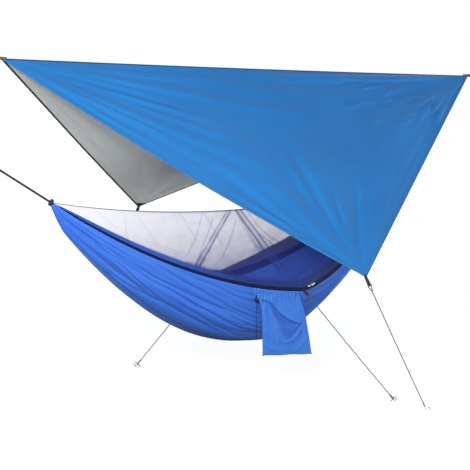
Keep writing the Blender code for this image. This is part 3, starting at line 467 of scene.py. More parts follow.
def guy_line(word, start, end, peg_top, hem):
    """One guy line: the eye round its webbing, the line itself, and the eye round its peg."""
    way = unit(peg_top - start)
    strap = start - way * (GUY_EYE + GUY_KNOT[1] + KNOT_GAP)
    level = np.cross(way, (0.0, 0.0, 1.0))
    top = tied_eye(word + "_guy_top", strap, way, hem - way * (hem @ way), STRAP_BEND, STRAP_HALF, GUY_EYE,
                   0.5 * GUY, GUY_KNOT, GREY_CORD)[:2]
    foot = tied_eye(word + "_guy_foot", peg_top, -way, level, PEG_BEND, 0.0, GUY_EYE,
                    0.5 * GUY, GUY_KNOT, GREY_CORD)[:2]
    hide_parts(word + "_guy_top_eye")
    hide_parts(word + "_guy_foot_eye")
    path = hang_line(start, end, GUY_SAG)
    line = tube(word + "_guy_braided", path, 0.5 * GUY, GREY_CORD)
    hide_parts(word + "_guy_line")


for word, run in GUY_RUNS.items():
    guy_line(word, *run)


# Drawcord of the pouch
# Two tails of a thin black cord come out of the pouch's hem, run through the cord lock, hang down and
# end in one knot. They swing with the pouch.
DRAWCORD = 0.003
TAIL_ROUTES = {
    "inner": ((1.5370, -0.3543, -0.8352), (1.5344, -0.3616, -0.8371), (1.5334, -0.3645, -0.8423),
              (1.5334, -0.3645, -0.8754), (1.5334, -0.3645, -0.9086), (1.5334, -0.3645, -0.9417),
              (1.5334, -0.3645, -0.9749), (1.5334, -0.3645, -1.0191), (1.5334, -0.3645, -1.0633)),
    "outer": ((1.5370, -0.3543, -0.8314), (1.5335, -0.3642, -0.8333), (1.5321, -0.3681, -0.8423),
              (1.5321, -0.3681, -0.8754), (1.5321, -0.3681, -0.9086), (1.5321, -0.3681, -0.9417),
              (1.5321, -0.3681, -0.9749), (1.5321, -0.3681, -1.0191), (1.5321, -0.3681, -1.0633)),
}
TAILS_END = np.array([1.53275, -0.36630, -1.0633])
TAILS_KNOT = (0.0044, 0.010)
THIN_CORD = rope_material("thin_black_braid", (0.004, 0.004, 0.005), (0.018, 0.018, 0.020), 0.005, 4.0,
                          0.0003)


def drawcord():
    """The two hanging tails and the knot that ends them."""
    wide, tall = TAILS_KNOT
    up = np.array([0.0, 0.0, 1.0])
    foot = TAILS_END - (tall + KNOT_GAP) * up
    lump = knot("drawcord_end_knot", foot, up, wide, tall, THIN_CORD, body="pouch")
    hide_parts("drawcord_knot")
    for word, route in TAIL_ROUTES.items():
        path = even(route, 80)
        tail = tube("drawcord_" + word + "_braided", path, 0.5 * DRAWCORD, THIN_CORD, sides=10, body="pouch")
        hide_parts("drawcord_" + word + "_tail")


drawcord()


# Lying cloth
# One wide sheet of light ripstop nylon, cut with tapered ends. Each end is drawn together in deep pleats and
# cinched by the rope, so long folds run out of both necks. The near edge is pulled out to a blunt point.
SPAN, END_RISE = 2.340, 0.029
NEAR_HALF, NEAR_SAG, NEAR_BOW = 0.4426, 0.5387, (0.9713, 1.0173, 1.7781)
FAR_HALF, FAR_SAG, FAR_BOW = 0.4007, 0.5887, (1.0173, 1.9244)
PULL = math.sin(math.radians(7.5))
NECK_RADIUS = 0.0115
NECK_LONG = 0.0100
CLOTH_CUT = (1.20, 2.95)
CLOTH_THICK = 0.0006


def ramp(x):
    """x, held between 0 and 1."""
    return np.clip(x, 0.0, 1.0)


def eased(x):
    """x held between 0 and 1, with a slow start and end: three times its square less twice its cube."""
    x = ramp(x)
    return x * x * (3.0 - 2.0 * x)


def hump(x, tall, wide):
    """A smooth rise of that height where x is 0, which has fallen by two thirds where x is its width."""
    return tall * np.exp(-((x / wide) ** 2))


def place_x(t):
    """X at t, which runs from -1 at the left end of the hammock to 1 at the right end."""
    return LEFT_END[0] + 0.5 * SPAN * (1.0 + t)


def end_line(t):
    """Height of the straight line between the hammock's two ends."""
    return LEFT_END[2] + 0.5 * END_RISE * (1.0 + t)


def near_edge(t):
    """Near edge: two nearly straight runs that meet at the point pulled out by the guy line."""
    share = ramp(np.where(t > PULL, (t - PULL) / (1.0 - PULL), (PULL - t) / (1.0 + PULL)))
    run, bow, sag = NEAR_BOW
    y = -NEAR_HALF * np.maximum(1.0 - share**run, 0.0) ** bow
    return np.stack([place_x(t), y, end_line(t) - NEAR_SAG * (1.0 - share**sag)], axis=-1)


def far_edge(t):
    """Far edge: an even bow."""
    bow, sag = FAR_BOW
    y = FAR_HALF * np.maximum(1.0 - t * t, 0.0) ** bow
    return np.stack([place_x(t), y, end_line(t) - FAR_SAG * (1.0 - np.abs(t) ** sag)], axis=-1)


def body_depth(t):
    """How far the bottom hangs below the line between the two edges."""
    middle = np.maximum(1.0 - t * t, 0.0) ** 1.8
    return (0.10 + 0.21 * middle) * np.sqrt(np.maximum(1.0 - np.abs(t) ** 24.0, 0.0))


def body_smooth(t, w):
    """The cloth without its folds: a parabola between the edges, a little fuller on the near side."""
    p = near_edge(t) * (1.0 - w)[..., None] + far_edge(t) * w[..., None]
    p[..., 2] -= body_depth(t) * (1.0 - (2.0 * w - 1.0) ** 2)
    p[..., 1] -= 0.08 * body_depth(t) * np.sin(2.0 * np.pi * w)
    return p


def sharp_wave(phase, edge=0.55):
    """A wave from 0 to 1 with round crests and creased valleys, one crest in each unit of phase."""
    return np.abs(np.sin(np.pi * phase)) ** edge


def body_folds(t, w):
    """Height of the folds: six broad ones, and fine pleats that deepen towards both ends."""
    end = np.abs(t)
    broad = np.sin(12.0 * np.pi * w) * np.sin(np.pi * ramp(w)) ** 0.5
    spread = (1.0 - 0.65 * np.exp(-((t / 0.55) ** 2))) * np.minimum(1.0, 6.0 * (1.0 - end))
    draw = rng_folds.uniform(0.0, 1.0, 12)
    drift = 0.018 * np.sin(2.3 * t + 6.3 * draw[0]) + 0.012 * np.sin(5.1 * t + 6.3 * draw[1] + 4.0 * w)
    fine = sharp_wave(17.0 * (w + drift) + 0.6 * np.sin(9.0 * w)) - 0.64
    finer = sharp_wave(29.0 * (w - 0.7 * drift) + 0.9 * np.sin(7.0 * w + 2.0)) - 0.64
    deep = ramp((end - 0.35) / 0.6) ** 1.5
    hem = np.minimum(1.0, 14.0 * np.minimum(w, 1.0 - w)) ** 0.7
    patchy = 0.55 + 0.45 * np.sin(11.0 * w + 3.0 * t + 1.0) * np.sin(4.0 * t + 5.0 * w)
    return (0.009 * broad * spread + hem * (0.0010 + 0.0050 * deep) * fine * (0.5 + patchy)
            + hem * (0.0004 + 0.0022 * deep) * finer)


END_CREASES = (
    (-1, 0.120, 0.150, 0.50, 0.0050), (-1, 0.350, 0.430, 0.55, 0.0060), (-1, 0.060, 0.085, 0.40, 0.0035),
    (-1, 0.640, 0.560, 0.60, 0.0070), (-1, 0.820, 0.780, 0.50, 0.0050), (1, 0.180, 0.130, 0.60, 0.0090),
    (1, 0.300, 0.270, 0.55, 0.0080), (1, 0.090, 0.060, 0.45, 0.0060), (1, 0.240, 0.200, 0.50, 0.0060),
    (1, 0.450, 0.480, 0.50, 0.0060), (1, 0.700, 0.640, 0.60, 0.0070), (1, 0.860, 0.800, 0.50, 0.0050))
WALL_CREASES = (
    (((-0.964, 0.106), (-0.837, 0.122), (-0.751, 0.159), (-0.683, 0.181), (-0.610, 0.224), (-0.530, 0.248),
      (-0.400, 0.290)), 0.0090, 0.011),
    (((-0.859, 0.139), (-0.723, 0.150), (-0.601, 0.154), (-0.476, 0.155), (-0.345, 0.170), (-0.200, 0.200),
      (-0.050, 0.262)), 0.0085, 0.010),
    (((-0.645, 0.108), (-0.552, 0.118), (-0.448, 0.120), (-0.341, 0.128), (-0.174, 0.146), (-0.039, 0.185),
      (0.060, 0.220)), 0.0075, 0.009),
    (((-0.565, 0.022), (-0.478, 0.050), (-0.367, 0.069), (-0.228, 0.105), (-0.063, 0.160), (0.050, 0.190)),
     0.0080, 0.008),
    (((-0.487, 0.006), (-0.376, 0.020), (-0.265, 0.034), (-0.089, 0.069), (0.040, 0.095)), 0.0060, 0.007),
    (((-0.300, 0.010), (-0.155, 0.031), (-0.060, 0.042), (0.060, 0.060)), 0.0050, 0.006),
    (((-0.500, 0.145), (-0.385, 0.165), (-0.263, 0.189), (-0.091, 0.247), (0.020, 0.285)), 0.0070, 0.009),
    (((-0.237, 0.146), (-0.112, 0.185), (-0.043, 0.217), (0.080, 0.262)), 0.0060, 0.007),
    (((-0.441, 0.209), (-0.341, 0.226), (-0.234, 0.259), (-0.104, 0.322), (0.000, 0.350)), 0.0070, 0.010),
    (((-0.754, 0.393), (-0.606, 0.345), (-0.451, 0.285), (-0.263, 0.300), (-0.122, 0.345)), 0.0080, 0.014),
    (((-0.940, 0.260), (-0.860, 0.290), (-0.740, 0.300), (-0.600, 0.290), (-0.480, 0.330)), 0.0080, 0.012),
    (((-0.160, 0.100), (-0.060, 0.125), (0.060, 0.150), (0.160, 0.160)), 0.0050, 0.006),
    (((0.120, 0.060), (0.280, 0.085), (0.460, 0.110), (0.700, 0.150), (0.940, 0.200)), 0.0080, 0.010),
    (((0.200, 0.025), (0.400, 0.045), (0.650, 0.085), (0.930, 0.130)), 0.0070, 0.009),
    (((0.180, 0.140), (0.380, 0.190), (0.620, 0.240), (0.940, 0.290)), 0.0080, 0.011),
    (((-0.300, 0.930), (0.100, 0.925), (0.500, 0.905), (0.940, 0.850)), 0.0080, 0.014),
    (((-0.100, 0.860), (0.200, 0.850), (0.550, 0.820), (0.940, 0.770)), 0.0100, 0.016),
    (((0.000, 0.780), (0.300, 0.765), (0.600, 0.740), (0.940, 0.700)), 0.0090, 0.015),
    (((-0.050, 0.710), (0.250, 0.700), (0.600, 0.670), (0.940, 0.630)), 0.0100, 0.017),
    (((0.050, 0.620), (0.350, 0.610), (0.650, 0.590), (0.940, 0.560)), 0.0090, 0.016),
)


def body_creases(t, w):
    """Long sharp creases: some drift from one end and die out, the others cross the near wall as chosen."""
    total = np.zeros_like(w)
    for end, start, finish, reach, depth in END_CREASES:
        gone = 0.5 * (1.0 - end * t)
        centre = start + (finish - start) * gone
        fade = np.exp(-((gone / reach) ** 2)) * ramp(gone / 0.04)
        across = (w - centre) / (0.010 + 0.020 * gone)
        total -= depth * fade * np.exp(-np.abs(across)) - depth * fade * hump(across, 0.35, 3.0)
    for path, depth, wide in WALL_CREASES:
        centre = np.interp(t, *zip(*path)) + 0.0025 * np.sin(31.0 * t + 40.0 * path[0][1])
        fade = eased(ramp((t - path[0][0]) / 0.10) * ramp((path[-1][0] - t) / 0.16))
        across = (w - centre) / wide
        groove = np.exp(-np.abs(across) ** 1.3)
        lips = hump(across + 2.0, 0.55, 1.6) + hump(across - 2.2, 0.25, 1.8)
        total -= 0.8 * depth * fade * (groove - lips)
    return total


def body_surface(t, w):
    """The lying cloth from t -1 to 1 and w 0 to 1, closing to a round neck at each end."""
    step = 0.004
    tangent = body_smooth(t, w + step) - body_smooth(t, w - step)
    normal = np.stack([0.0 * w, tangent[..., 2], -tangent[..., 1]], axis=-1)
    normal /= np.linalg.norm(normal, axis=-1)[..., None] + 1e-12
    p = body_smooth(t, w) + normal * (body_folds(t, w) + body_creases(t, w))[..., None]
    end = np.abs(t)
    blend = eased((end - 0.93) / 0.07)[..., None]
    leftward = (t < 0.0)[..., None]
    tip = np.where(leftward, LEFT_END, RIGHT_END)
    pull = np.where(leftward, LEFT_PULL, RIGHT_PULL)
    rise = np.stack([-pull[..., 2] * np.sign(pull[..., 0]), 0.0 * w, np.abs(pull[..., 0])], axis=-1)
    angle = 2.0 * np.pi * (0.03 + 0.94 * w)
    pleat = NECK_RADIUS * (1.0 - 0.14 * (1.0 - sharp_wave(9.0 * w, 0.8)))
    past = np.clip(end - 1.0, 0.0, None)[..., None]
    ring = (tip + pull * past + rise * (pleat * np.cos(angle))[..., None]
            - SIDEWAYS * (pleat * np.sin(angle))[..., None])
    return p * (1.0 - blend) + ring * blend


def cloth_group():
    """Ripstop cloth: a raised grid of thicker threads, soft mottling, and small creases along the sheet."""
    group, given = new_group("ripstop", Cell=0.006, Mottle=2.5, Stretch=9.0)
    axis = axes(group, given["Along"])
    lines = []
    for k in (0, 1):
        turn = calc(group, "DIVIDE", axis[k], given["Cell"])
        wave = calc(group, "ABSOLUTE", calc(group, "SINE", calc(group, "MULTIPLY", turn, math.pi)))
        lines.append(calc(group, "POWER", wave, 24.0))
    grid = calc(group, "MAXIMUM", *lines)
    soft = noise(group, given["Along"], given["Mottle"], 3.0, 0.55)
    fine = noise(group, given["Along"], 70.0, 2.0)
    part = calc(group, "MULTIPLY_ADD", soft, 0.9, -0.05)
    part = calc(group, "MULTIPLY_ADD", fine, 0.25, calc(group, "SUBTRACT", part, 0.12))
    shade = wired(group, "ShaderNodeClamp", i0=calc(group, "MULTIPLY_ADD", grid, 0.10, part)).outputs[0]
    cross = calc(group, "MULTIPLY", axis[1], given["Stretch"])
    long = wired(group, "ShaderNodeCombineXYZ", i0=axis[0], i1=cross).outputs[0]
    return end_group(group, Weave=grid, Shade=shade, Crease=noise(group, long, 5.5, 4.0, 0.6))


RIPSTOP = cloth_group()


def cloth_material(name, dark, light, roughness, cell=0.006, mottle=2.5, stretch=9.0, crease=0.004,
                   sheen=0.05, shine=0.14, seam=0.0):
    """Light woven cloth between two shades of one colour, with its weave and small creases as bump.
    A seam gives a darker strip of that width along the diagonal of the cloth's flat map."""
    made, tree, shader = new_material(name, roughness, shine, sheen)
    shader.inputs["Sheen Roughness"].default_value = 0.4
    cloth = use_group(tree, RIPSTOP, Along=uv_of(tree), Cell=cell, Mottle=mottle, Stretch=stretch)
    color = blend_color(tree, cloth["Shade"], dark, light)
    if seam:
        axis = axes(tree, uv_of(tree))
        away = calc(tree, "MULTIPLY", calc(tree, "ADD", axis[0], axis[1]), math.sqrt(0.5))
        sewn = tuple(0.5 * part for part in dark)
        color = blend_color(tree, calc(tree, "LESS_THAN", away, seam), color, sewn)
    tree.links.new(color, shader.inputs["Base Color"])
    weave = wired(tree, "ShaderNodeBump", Strength=0.5, Distance=0.0002, Height=cloth["Weave"])
    bump = wired(tree, "ShaderNodeBump", Strength=1.0, Distance=crease, Height=cloth["Crease"],
                 Normal=weave.outputs["Normal"])
    tree.links.new(bump.outputs["Normal"], shader.inputs["Normal"])
    return made


BODY_CLOTH = cloth_material("body_ripstop", (0.034, 0.140, 0.650), (0.082, 0.246, 0.830), 0.36,
                            crease=0.004, sheen=0.06, shine=0.16)


def thicken(thing, thickness, inside=None):
    """Gives a sheet its thickness, with a second material on its inner side if one is given."""
    if inside is not None:
        thing.data.materials.append(inside)
    wall = thing.modifiers.new("cloth", "SOLIDIFY")
    wall.thickness = thickness
    wall.offset = 0.0
    wall.material_offset = 0 if inside is None else 1
    return thing


def grid_sheet(name, points, material, u, v, body="tent", wrap=False):
    """A sheet through a grid of points, with its flat coordinates as its UV map."""
    shape = points.shape[:2]
    thing = new_piece(name, points, grid_faces(*shape, wrap), material, body)
    face_uv(thing, np.broadcast_to(u, shape), np.broadcast_to(v, shape))
    return thing


def lying_cloth():
    """The whole sheet from neck to neck."""
    angle = np.linspace(-0.5 * np.pi, 0.5 * np.pi, 253)
    t = 0.62 * np.sin(angle) + 0.38 * angle / (0.5 * np.pi)
    reach = np.linspace(0.2, 1.0, 4) * NECK_LONG
    t = np.concatenate([-1.0 - reach[::-1], t, 1.0 + reach])
    near_wall = 0.42
    w = np.concatenate([np.linspace(0.0, near_wall, 105), np.linspace(near_wall, 1.0, 57)[1:]])
    grid_t, grid_w = np.meshgrid(t, w, indexing="ij")
    points = body_surface(grid_t, grid_w)
    girth = np.cumsum(np.linalg.norm(np.diff(points, axis=1, prepend=points[:, :1]), axis=-1), axis=1)
    cloth = grid_sheet("lying_cloth", points, BODY_CLOTH, 0.5 * CLOTH_CUT[1] * grid_t,
                       girth - 0.5 * girth[:, -1:])
    thicken(cloth, CLOTH_THICK)
    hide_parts("hammock_body", "left_gather", "right_gather")


rng_folds = np.random.default_rng(7)
lying_cloth()


# Nooses
# Each neck of gathered cloth is cinched by two turns of thin black braided polyester cord. They are pulled
# tight round its pleats, and the suspension rope runs out of the neck that they hold.
NOOSE_RADIUS = 0.0164
NOOSE_CORD = 0.0034


def noose(word, tip, pull):
    """Two turns of cord round the neck, as one closed coil that runs back into itself."""
    rise = unit(np.cross(pull, SIDEWAYS))
    turn = np.linspace(0.0, 4.0 * np.pi, 97)
    lift = 0.0028 * np.tanh(3.0 * np.sin(0.5 * turn))
    middle = tip + pull * 0.5 * NECK_LONG
    path = (middle + pull * lift[:, None] + SIDEWAYS * (NOOSE_RADIUS * np.cos(turn))[:, None]
            + rise * (NOOSE_RADIUS * np.sin(turn))[:, None])
    ring = tube(word + "_noose_turns", path, NOOSE_CORD, BLACK_ROPE)
    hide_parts(word + "_noose")


noose("left", LEFT_END, LEFT_PULL)
noose("right", RIGHT_END, RIGHT_PULL)


# Zip, skirt and far band
# Strips sewn to the hammock's two edges. The near one is a black coil zip on its tape with a blue skirt
# above it that carries the net; the far one is a navy band. All are drawn narrow towards the ends.
RIDGE_SAG = 0.113
ZIP_WIDE, SKIRT_WIDE, BAND_WIDE = 0.0285, 0.042, 0.120
SEAM = 0.0004
STRIP_END = 0.975
HEM_RADIUS = 0.0034


def close_ends(count):
    """That many numbers from -1 to 1, closer together towards both ends: the sines of even angles."""
    return np.sin(np.linspace(-0.5 * np.pi, 0.5 * np.pi, count))


def net_ridge(t):
    """The cord in the top of the net: a shallow hang from end to end."""
    return np.stack([place_x(t), 0.0 * t, end_line(t) - RIDGE_SAG * (1.0 - t * t)], axis=-1)


def drawn(width, reach):
    """A strip's width where the net is that far across, less as it is drawn in towards the gathered ends."""
    return width * reach / (reach + 3.0 * width)


def zip_top(reach):
    """Distance from the near edge to the top of the zip tape."""
    return drawn(ZIP_WIDE, reach)


def skirt_top(reach):
    """Distance from the near edge to the top of the skirt."""
    return zip_top(reach) + SEAM + drawn(SKIRT_WIDE, reach)


def band_top(reach):
    """Distance from the far edge to the top of the navy band."""
    return drawn(BAND_WIDE, reach)


def ruled(edge, low, high, t, v, hang=0.0):
    """The run from an edge of the hammock up to the net's ridge cord, between two distances from the edge."""
    foot, head = edge(t), net_ridge(t)
    reach = np.linalg.norm(head - foot, axis=-1)
    share = (low(reach) + (high(reach) - low(reach)) * v) / reach
    p = foot + (head - foot) * share[..., None]
    p[..., 2] -= hang * np.sin(np.pi * v) * np.minimum(1.0, reach / NEAR_HALF)
    return p


def lifted(points, height, outward):
    """The grid of points moved by a height along its own normal, on the side that faces outward in Y."""
    along = np.gradient(points, axis=0)
    across = np.gradient(points, axis=1)
    normal = np.cross(along, across)
    normal /= np.linalg.norm(normal, axis=-1)[..., None] + 1e-12
    normal *= np.where(normal[..., 1:2] * outward < 0.0, -1.0, 1.0)
    return points + normal * height[..., None]


def strip(name, node, edge, low, high, relief, material, outward, rows, thickness):
    """One strip along an edge with its own relief: height along its normal at each (t, v)."""
    grid_t, grid_v = np.meshgrid(STRIP_END * close_ends(361), np.linspace(0.0, 1.0, rows), indexing="ij")
    points = ruled(edge, low, high, grid_t, grid_v)
    points = lifted(points, relief(grid_t, grid_v), outward)
    thing = grid_sheet(name, points, material, run_length(points[:, 0])[:, None], grid_v)
    thicken(thing, thickness)
    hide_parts(node)
    return thing


def zip_relief(t, v):
    """The coil as a rounded ridge up the middle of the tape, on a tape that waves a little."""
    coil = 0.0007 * np.exp(-(((v - 0.5) / 0.10) ** 2))
    calm = 1.0 - np.exp(-(((t - 0.21) / 0.10) ** 2))
    wave = 0.0011 * np.sin(46.0 * t + 3.0 * np.sin(9.0 * t)) + 0.0006 * np.sin(117.0 * t)
    return coil + wave * calm * 4.0 * v * (1.0 - v)


def skirt_relief(t, v):
    """Soft cross ripples where the skirt is sewn to the zip."""
    return (0.0016 * np.sin(62.0 * t + 2.0 * np.sin(13.0 * t) + 2.0 * v)
            + 0.0010 * np.sin(131.0 * t + 5.0 * v)) * np.sin(np.pi * ramp(v)) ** 0.5


def band_relief(t, v):
    """Slow waves of the loose band, and finer ones towards its sewn edge."""
    slow = 0.0045 * np.sin(23.0 * t + 1.5 * v) * np.sin(np.pi * v)
    return slow + 0.0012 * np.sin(71.0 * t - 3.0 * v) * (1.0 - v)


def coil_group():
    """Zip teeth: fine ribs across the middle of the strip, and a plain woven tape beside them."""
    group, given = new_group("coil", Pitch=0.0022)
    axis = axes(group, given["Along"])
    turn = calc(group, "MULTIPLY", calc(group, "DIVIDE", axis[0], given["Pitch"]), 2.0 * math.pi)
    rib = calc(group, "MULTIPLY_ADD", calc(group, "SINE", turn), 0.5, 0.5)
    off = calc(group, "ABSOLUTE", calc(group, "SUBTRACT", axis[1], 0.5))
    height = calc(group, "MULTIPLY", rib, calc(group, "LESS_THAN", off, 0.12))
    fuzz = noise(group, given["Along"], 260.0, 2.0)
    # Shade is random tape tone plus a painted highlight on the coil's ribs.
    shade = calc(group, "MULTIPLY_ADD", height, 0.4, calc(group, "MULTIPLY", fuzz, 0.6))
    return end_group(group, Height=height, Shade=shade)


def zip_material():
    """Black polyester tape with its coil."""
    made, tree, shader = new_material("zip_coil", 0.62, 0.12)
    coil = use_group(tree, coil_group(), Along=uv_of(tree))
    color = blend_color(tree, coil["Shade"], (0.004, 0.005, 0.030), (0.014, 0.017, 0.075))
    tree.links.new(color, shader.inputs["Base Color"])
    emboss(tree, shader, coil["Height"], 0.0006)
    return made


def turned_where(made, factor, color):
    """Turns the material to another colour as the factor goes from 0 to 1."""
    tree = made.node_tree
    base = tree.nodes["Principled BSDF"].inputs["Base Color"]
    tree.links.new(blend_color(tree, factor, base.links[0].from_socket, color), base)
    return made


def skirt_material():
    """Blue cloth, with painted shade that darkens it from its middle to the right."""
    made = cloth_material("skirt_ripstop", (0.020, 0.085, 0.430), (0.035, 0.130, 0.600), 0.55)
    tree = made.node_tree
    run = axes(tree, uv_of(tree))[0]
    starts, full, most = 0.70, 1.15, 0.85
    # Painted shade: this factor darkens the skirt from its middle to the right.
    folded = wired(tree, "ShaderNodeMapRange", i0=run, i1=starts, i2=full, i3=0.0, i4=most).outputs[0]
    return turned_where(made, folded, (0.009, 0.024, 0.150))


def edge_strips():
    """Zip tape and skirt on the near edge, navy band and the rolled hem under it on the far one."""
    zip_low = lambda reach: 0.0 * reach - 0.0008
    skirt_low = lambda reach: zip_top(reach) + SEAM
    band_low = lambda reach: 0.0 * reach + 0.0006
    band_cloth = cloth_material("band_ripstop", (0.007, 0.009, 0.075), (0.013, 0.017, 0.130), 0.65)
    strip("zip_tape_strip", "near_zip_tape", near_edge, zip_low, zip_top, zip_relief, zip_material(),
          -1.0, 13, 0.0010)
    skirt = strip("net_skirt", "near_skirt", near_edge, skirt_low, skirt_top, skirt_relief, skirt_material(),
                  -1.0, 9, CLOTH_THICK)
    band = strip("net_band", "far_band", far_edge, band_low, band_top, band_relief, band_cloth,
                 1.0, 17, CLOTH_THICK)
    hem = tube("far_rolled_hem", far_edge(STRIP_END * close_ends(241)), HEM_RADIUS, band_cloth, sides=10)


edge_strips()


# Insect net
# Two halves of fine dark blue polyester mesh, hung from a thin cord that runs above the sleeper. Where the
# mesh is gathered at the cord it falls in pleats, and each pleat shows as a darker band with dark edges.
NEAR_PLEATS = (
    (((0.99, -0.046), (0.85, -0.104), (0.70, -0.160), (0.52, -0.215), (0.30, -0.271), (0.02, -0.329)),
     0.0050, 0.50),
    (((0.99, -0.067), (0.86, -0.122), (0.71, -0.178), (0.53, -0.232), (0.32, -0.288), (0.04, -0.345)),
     0.0045, 0.45),
    (((0.99, -0.016), (0.81, 0.006), (0.64, 0.027), (0.45, 0.043), (0.26, 0.058), (0.07, 0.069)),
     0.0050, 0.55),
    (((0.98, 0.011), (0.81, 0.034), (0.64, 0.056), (0.47, 0.074), (0.29, 0.090), (0.10, 0.103)),
     0.0050, 0.55),
    (((0.95, -0.020), (0.711, 0.018), (0.40, 0.046)), 0.004, 0.25),
    (((0.90, -0.030), (0.37, -0.177), (0.25, -0.205)), 0.0035, 0.30),
    (((1.0, -0.203), (0.55, -0.300), (0.10, -0.393)), 0.0030, 0.28),
    (((0.95, -0.150), (0.50, -0.262), (0.09, -0.338)), 0.0030, 0.25),
    (((0.95, -0.790), (0.60, -0.735), (0.31, -0.688)), 0.0030, 0.20),
    (((0.90, -0.560), (0.50, -0.520), (0.15, -0.500)), 0.0030, 0.12),
    (((0.98, 0.230), (0.55, 0.260), (0.10, 0.300)), 0.0040, 0.25),
    (((0.98, 0.420), (0.55, 0.400), (0.10, 0.390)), 0.0040, 0.25),
    (((0.98, 0.640), (0.50, 0.620), (0.05, 0.580)), 0.0040, 0.25),
)
NEAR_BANDS = (
    ((0.99, -0.056), (0.70, -0.169), (0.30, -0.280), (0.03, -0.337), 0.010, 0.14),
    ((0.98, -0.003), (0.64, 0.041), (0.27, 0.074), (0.08, 0.086), 0.012, 0.17),
)
FAR_PLEATS = (
    (((1.0, -0.199), (0.68, -0.064), (0.45, 0.020)), 0.0030, 0.25),
    (((1.0, -0.330), (0.715, -0.212), (0.50, -0.130)), 0.0030, 0.20),
    (((1.0, 0.020), (0.421, 0.281), (0.20, 0.360)), 0.0035, 0.30),
    (((0.98, 0.050), (0.397, 0.324), (0.15, 0.420)), 0.0035, 0.30),
    (((1.0, -0.010), (0.66, 0.126), (0.19, 0.291)), 0.0060, 0.25),
    (((0.95, -0.620), (0.50, -0.560), (0.10, -0.500)), 0.0030, 0.15),
    (((0.95, 0.560), (0.50, 0.600), (0.10, 0.620)), 0.0040, 0.25),
)
FAR_BANDS = (((1.0, -0.020), (0.66, 0.115), (0.40, 0.205), (0.19, 0.280), 0.010, 0.10),)
CORD_RADIUS = 0.0015


def pleat_cover(t, v, pleats, bands):
    """How much the pleats add to the mesh's cover, and how far each fold stands out, at (t, v).
    Each fades out at its lower and upper end, unless that end is the foot or the top of the net."""
    cover, height = np.zeros_like(t), np.zeros_like(t)
    for path, wide, strength in pleats:
        path = sorted(path)
        low, high = path[0][0], path[-1][0]
        fade = ramp((v - low) / 0.12 + (low <= 0.05))
        fade = fade * ramp((high - v) / 0.05 + (high > 0.97))
        away = (t - np.interp(v, *zip(*path))) / wide
        cover += strength * fade * np.exp(-(away**2))
        height += 0.004 * strength * fade * np.exp(-((0.5 * away) ** 2))
    for *path, wide, strength in bands:
        path = sorted(path)
        low = path[0][0]
        away = (t - np.interp(v, *zip(*path))) / (wide * (0.6 + 0.4 * (1.0 - v)))
        cover += strength * np.exp(-(away**4)) * ramp((v - low) / 0.12 + (low <= 0.05))
        height += 0.003 * np.exp(-(away**2))
    return cover, height


def mesh_group():
    """Insect mesh: a diagonal lattice of fine threads as cover from 0 to 1 about its mean."""
    group, given = new_group("mesh", Cell=0.0030)
    axis = axes(group, given["Along"])
    waves = []
    for work in ("ADD", "SUBTRACT"):
        turn = calc(group, "DIVIDE", calc(group, work, axis[0], axis[1]), given["Cell"])
        waves.append(calc(group, "ABSOLUTE", calc(group, "SINE", calc(group, "MULTIPLY", turn, math.pi))))
    holes = calc(group, "POWER", calc(group, "MULTIPLY", *waves), 0.7)
    return end_group(group, Threads=calc(group, "SUBTRACT", 1.0, holes))


def doubled_mesh(t, v):
    """Cover added where the far half is folded double above its band: the fold rises towards the right."""
    top = np.clip(0.07 + (t - 0.09), 0.06, 0.55)
    return 0.97 * ramp((top + 0.020 - v) / 0.045) ** 0.7


def write_mark(thing, name, values):
    """Gives the mesh a number at each of its vertices, under a name that its material can read."""
    layer = thing.data.attributes.new(name, "FLOAT", "POINT")
    layer.data.foreach_set("value", values.ravel().astype(np.float32))


def read_mark(tree, name):
    """The number that the mesh has under that name."""
    return wired(tree, "ShaderNodeAttribute", {"attribute_name": name}).outputs["Fac"]


def net_material():
    """Dark blue mesh whose cover is its own vertex attribute, broken up by its threads."""
    made, tree, shader = new_material("insect_mesh", 0.8, 0.1)
    threads = use_group(tree, mesh_group(), Along=uv_of(tree))["Threads"]
    cover = read_mark(tree, "cover")
    cloud = noise(tree, uv_of(tree), 14.0, 3.0)
    part = calc(tree, "MULTIPLY_ADD", threads, 0.9, 0.55)
    part = calc(tree, "MULTIPLY", part, calc(tree, "MULTIPLY_ADD", cloud, 0.7, 0.65))
    alpha = wired(tree, "ShaderNodeClamp", i0=calc(tree, "MULTIPLY", part, cover), Max=0.97)
    tree.links.new(alpha.outputs[0], shader.inputs["Alpha"])
    thin = blend_color(tree, threads, (0.018, 0.030, 0.190), (0.038, 0.056, 0.380))
    packed = calc(tree, "POWER", wired(tree, "ShaderNodeClamp", i0=cover).outputs[0], 3.0)
    tree.links.new(blend_color(tree, packed, thin, (0.028, 0.038, 0.145)), shader.inputs["Base Color"])
    return made


def net_half(name, node, edge, low, pleats, bands, material, outward, fringe):
    """One half of the net, from its skirt or band up to the ridge cord, with its pleats."""
    t = STRIP_END * (0.5 * close_ends(521) + 0.5 * np.linspace(-1.0, 1.0, 521))
    grid_t, grid_v = np.meshgrid(t, np.linspace(0.0, 1.0, 81), indexing="ij")
    high = lambda reach: reach - 0.0024
    points = ruled(edge, low, high, grid_t, grid_v, hang=0.016)
    cover, height = pleat_cover(grid_t, grid_v, pleats, bands)
    height += 0.0018 * np.sin(38.0 * grid_t + 9.0 * grid_v) * np.sin(np.pi * grid_v)
    hold = ramp(8.0 * (1.0 - grid_v)) * ramp(14.0 * grid_v)
    points = lifted(points, height * hold, outward)
    # The mesh is even: the cover that grows towards the right and the foot is painted shade.
    far_along = ramp((grid_t + 0.80) / 1.1)
    base = 0.055 + 0.24 * far_along + 0.44 * far_along**0.7 * (1.0 - grid_v) ** 2 + fringe(grid_t, grid_v)
    seam = hump(1.0 - grid_v, 0.45, 0.010) + hump(grid_v, 0.40, 0.040)
    thing = grid_sheet(name, points, material, run_length(points[:, 0])[:, None], 0.5 * grid_v)
    write_mark(thing, "cover", base + cover + seam)
    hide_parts(node)
    return thing


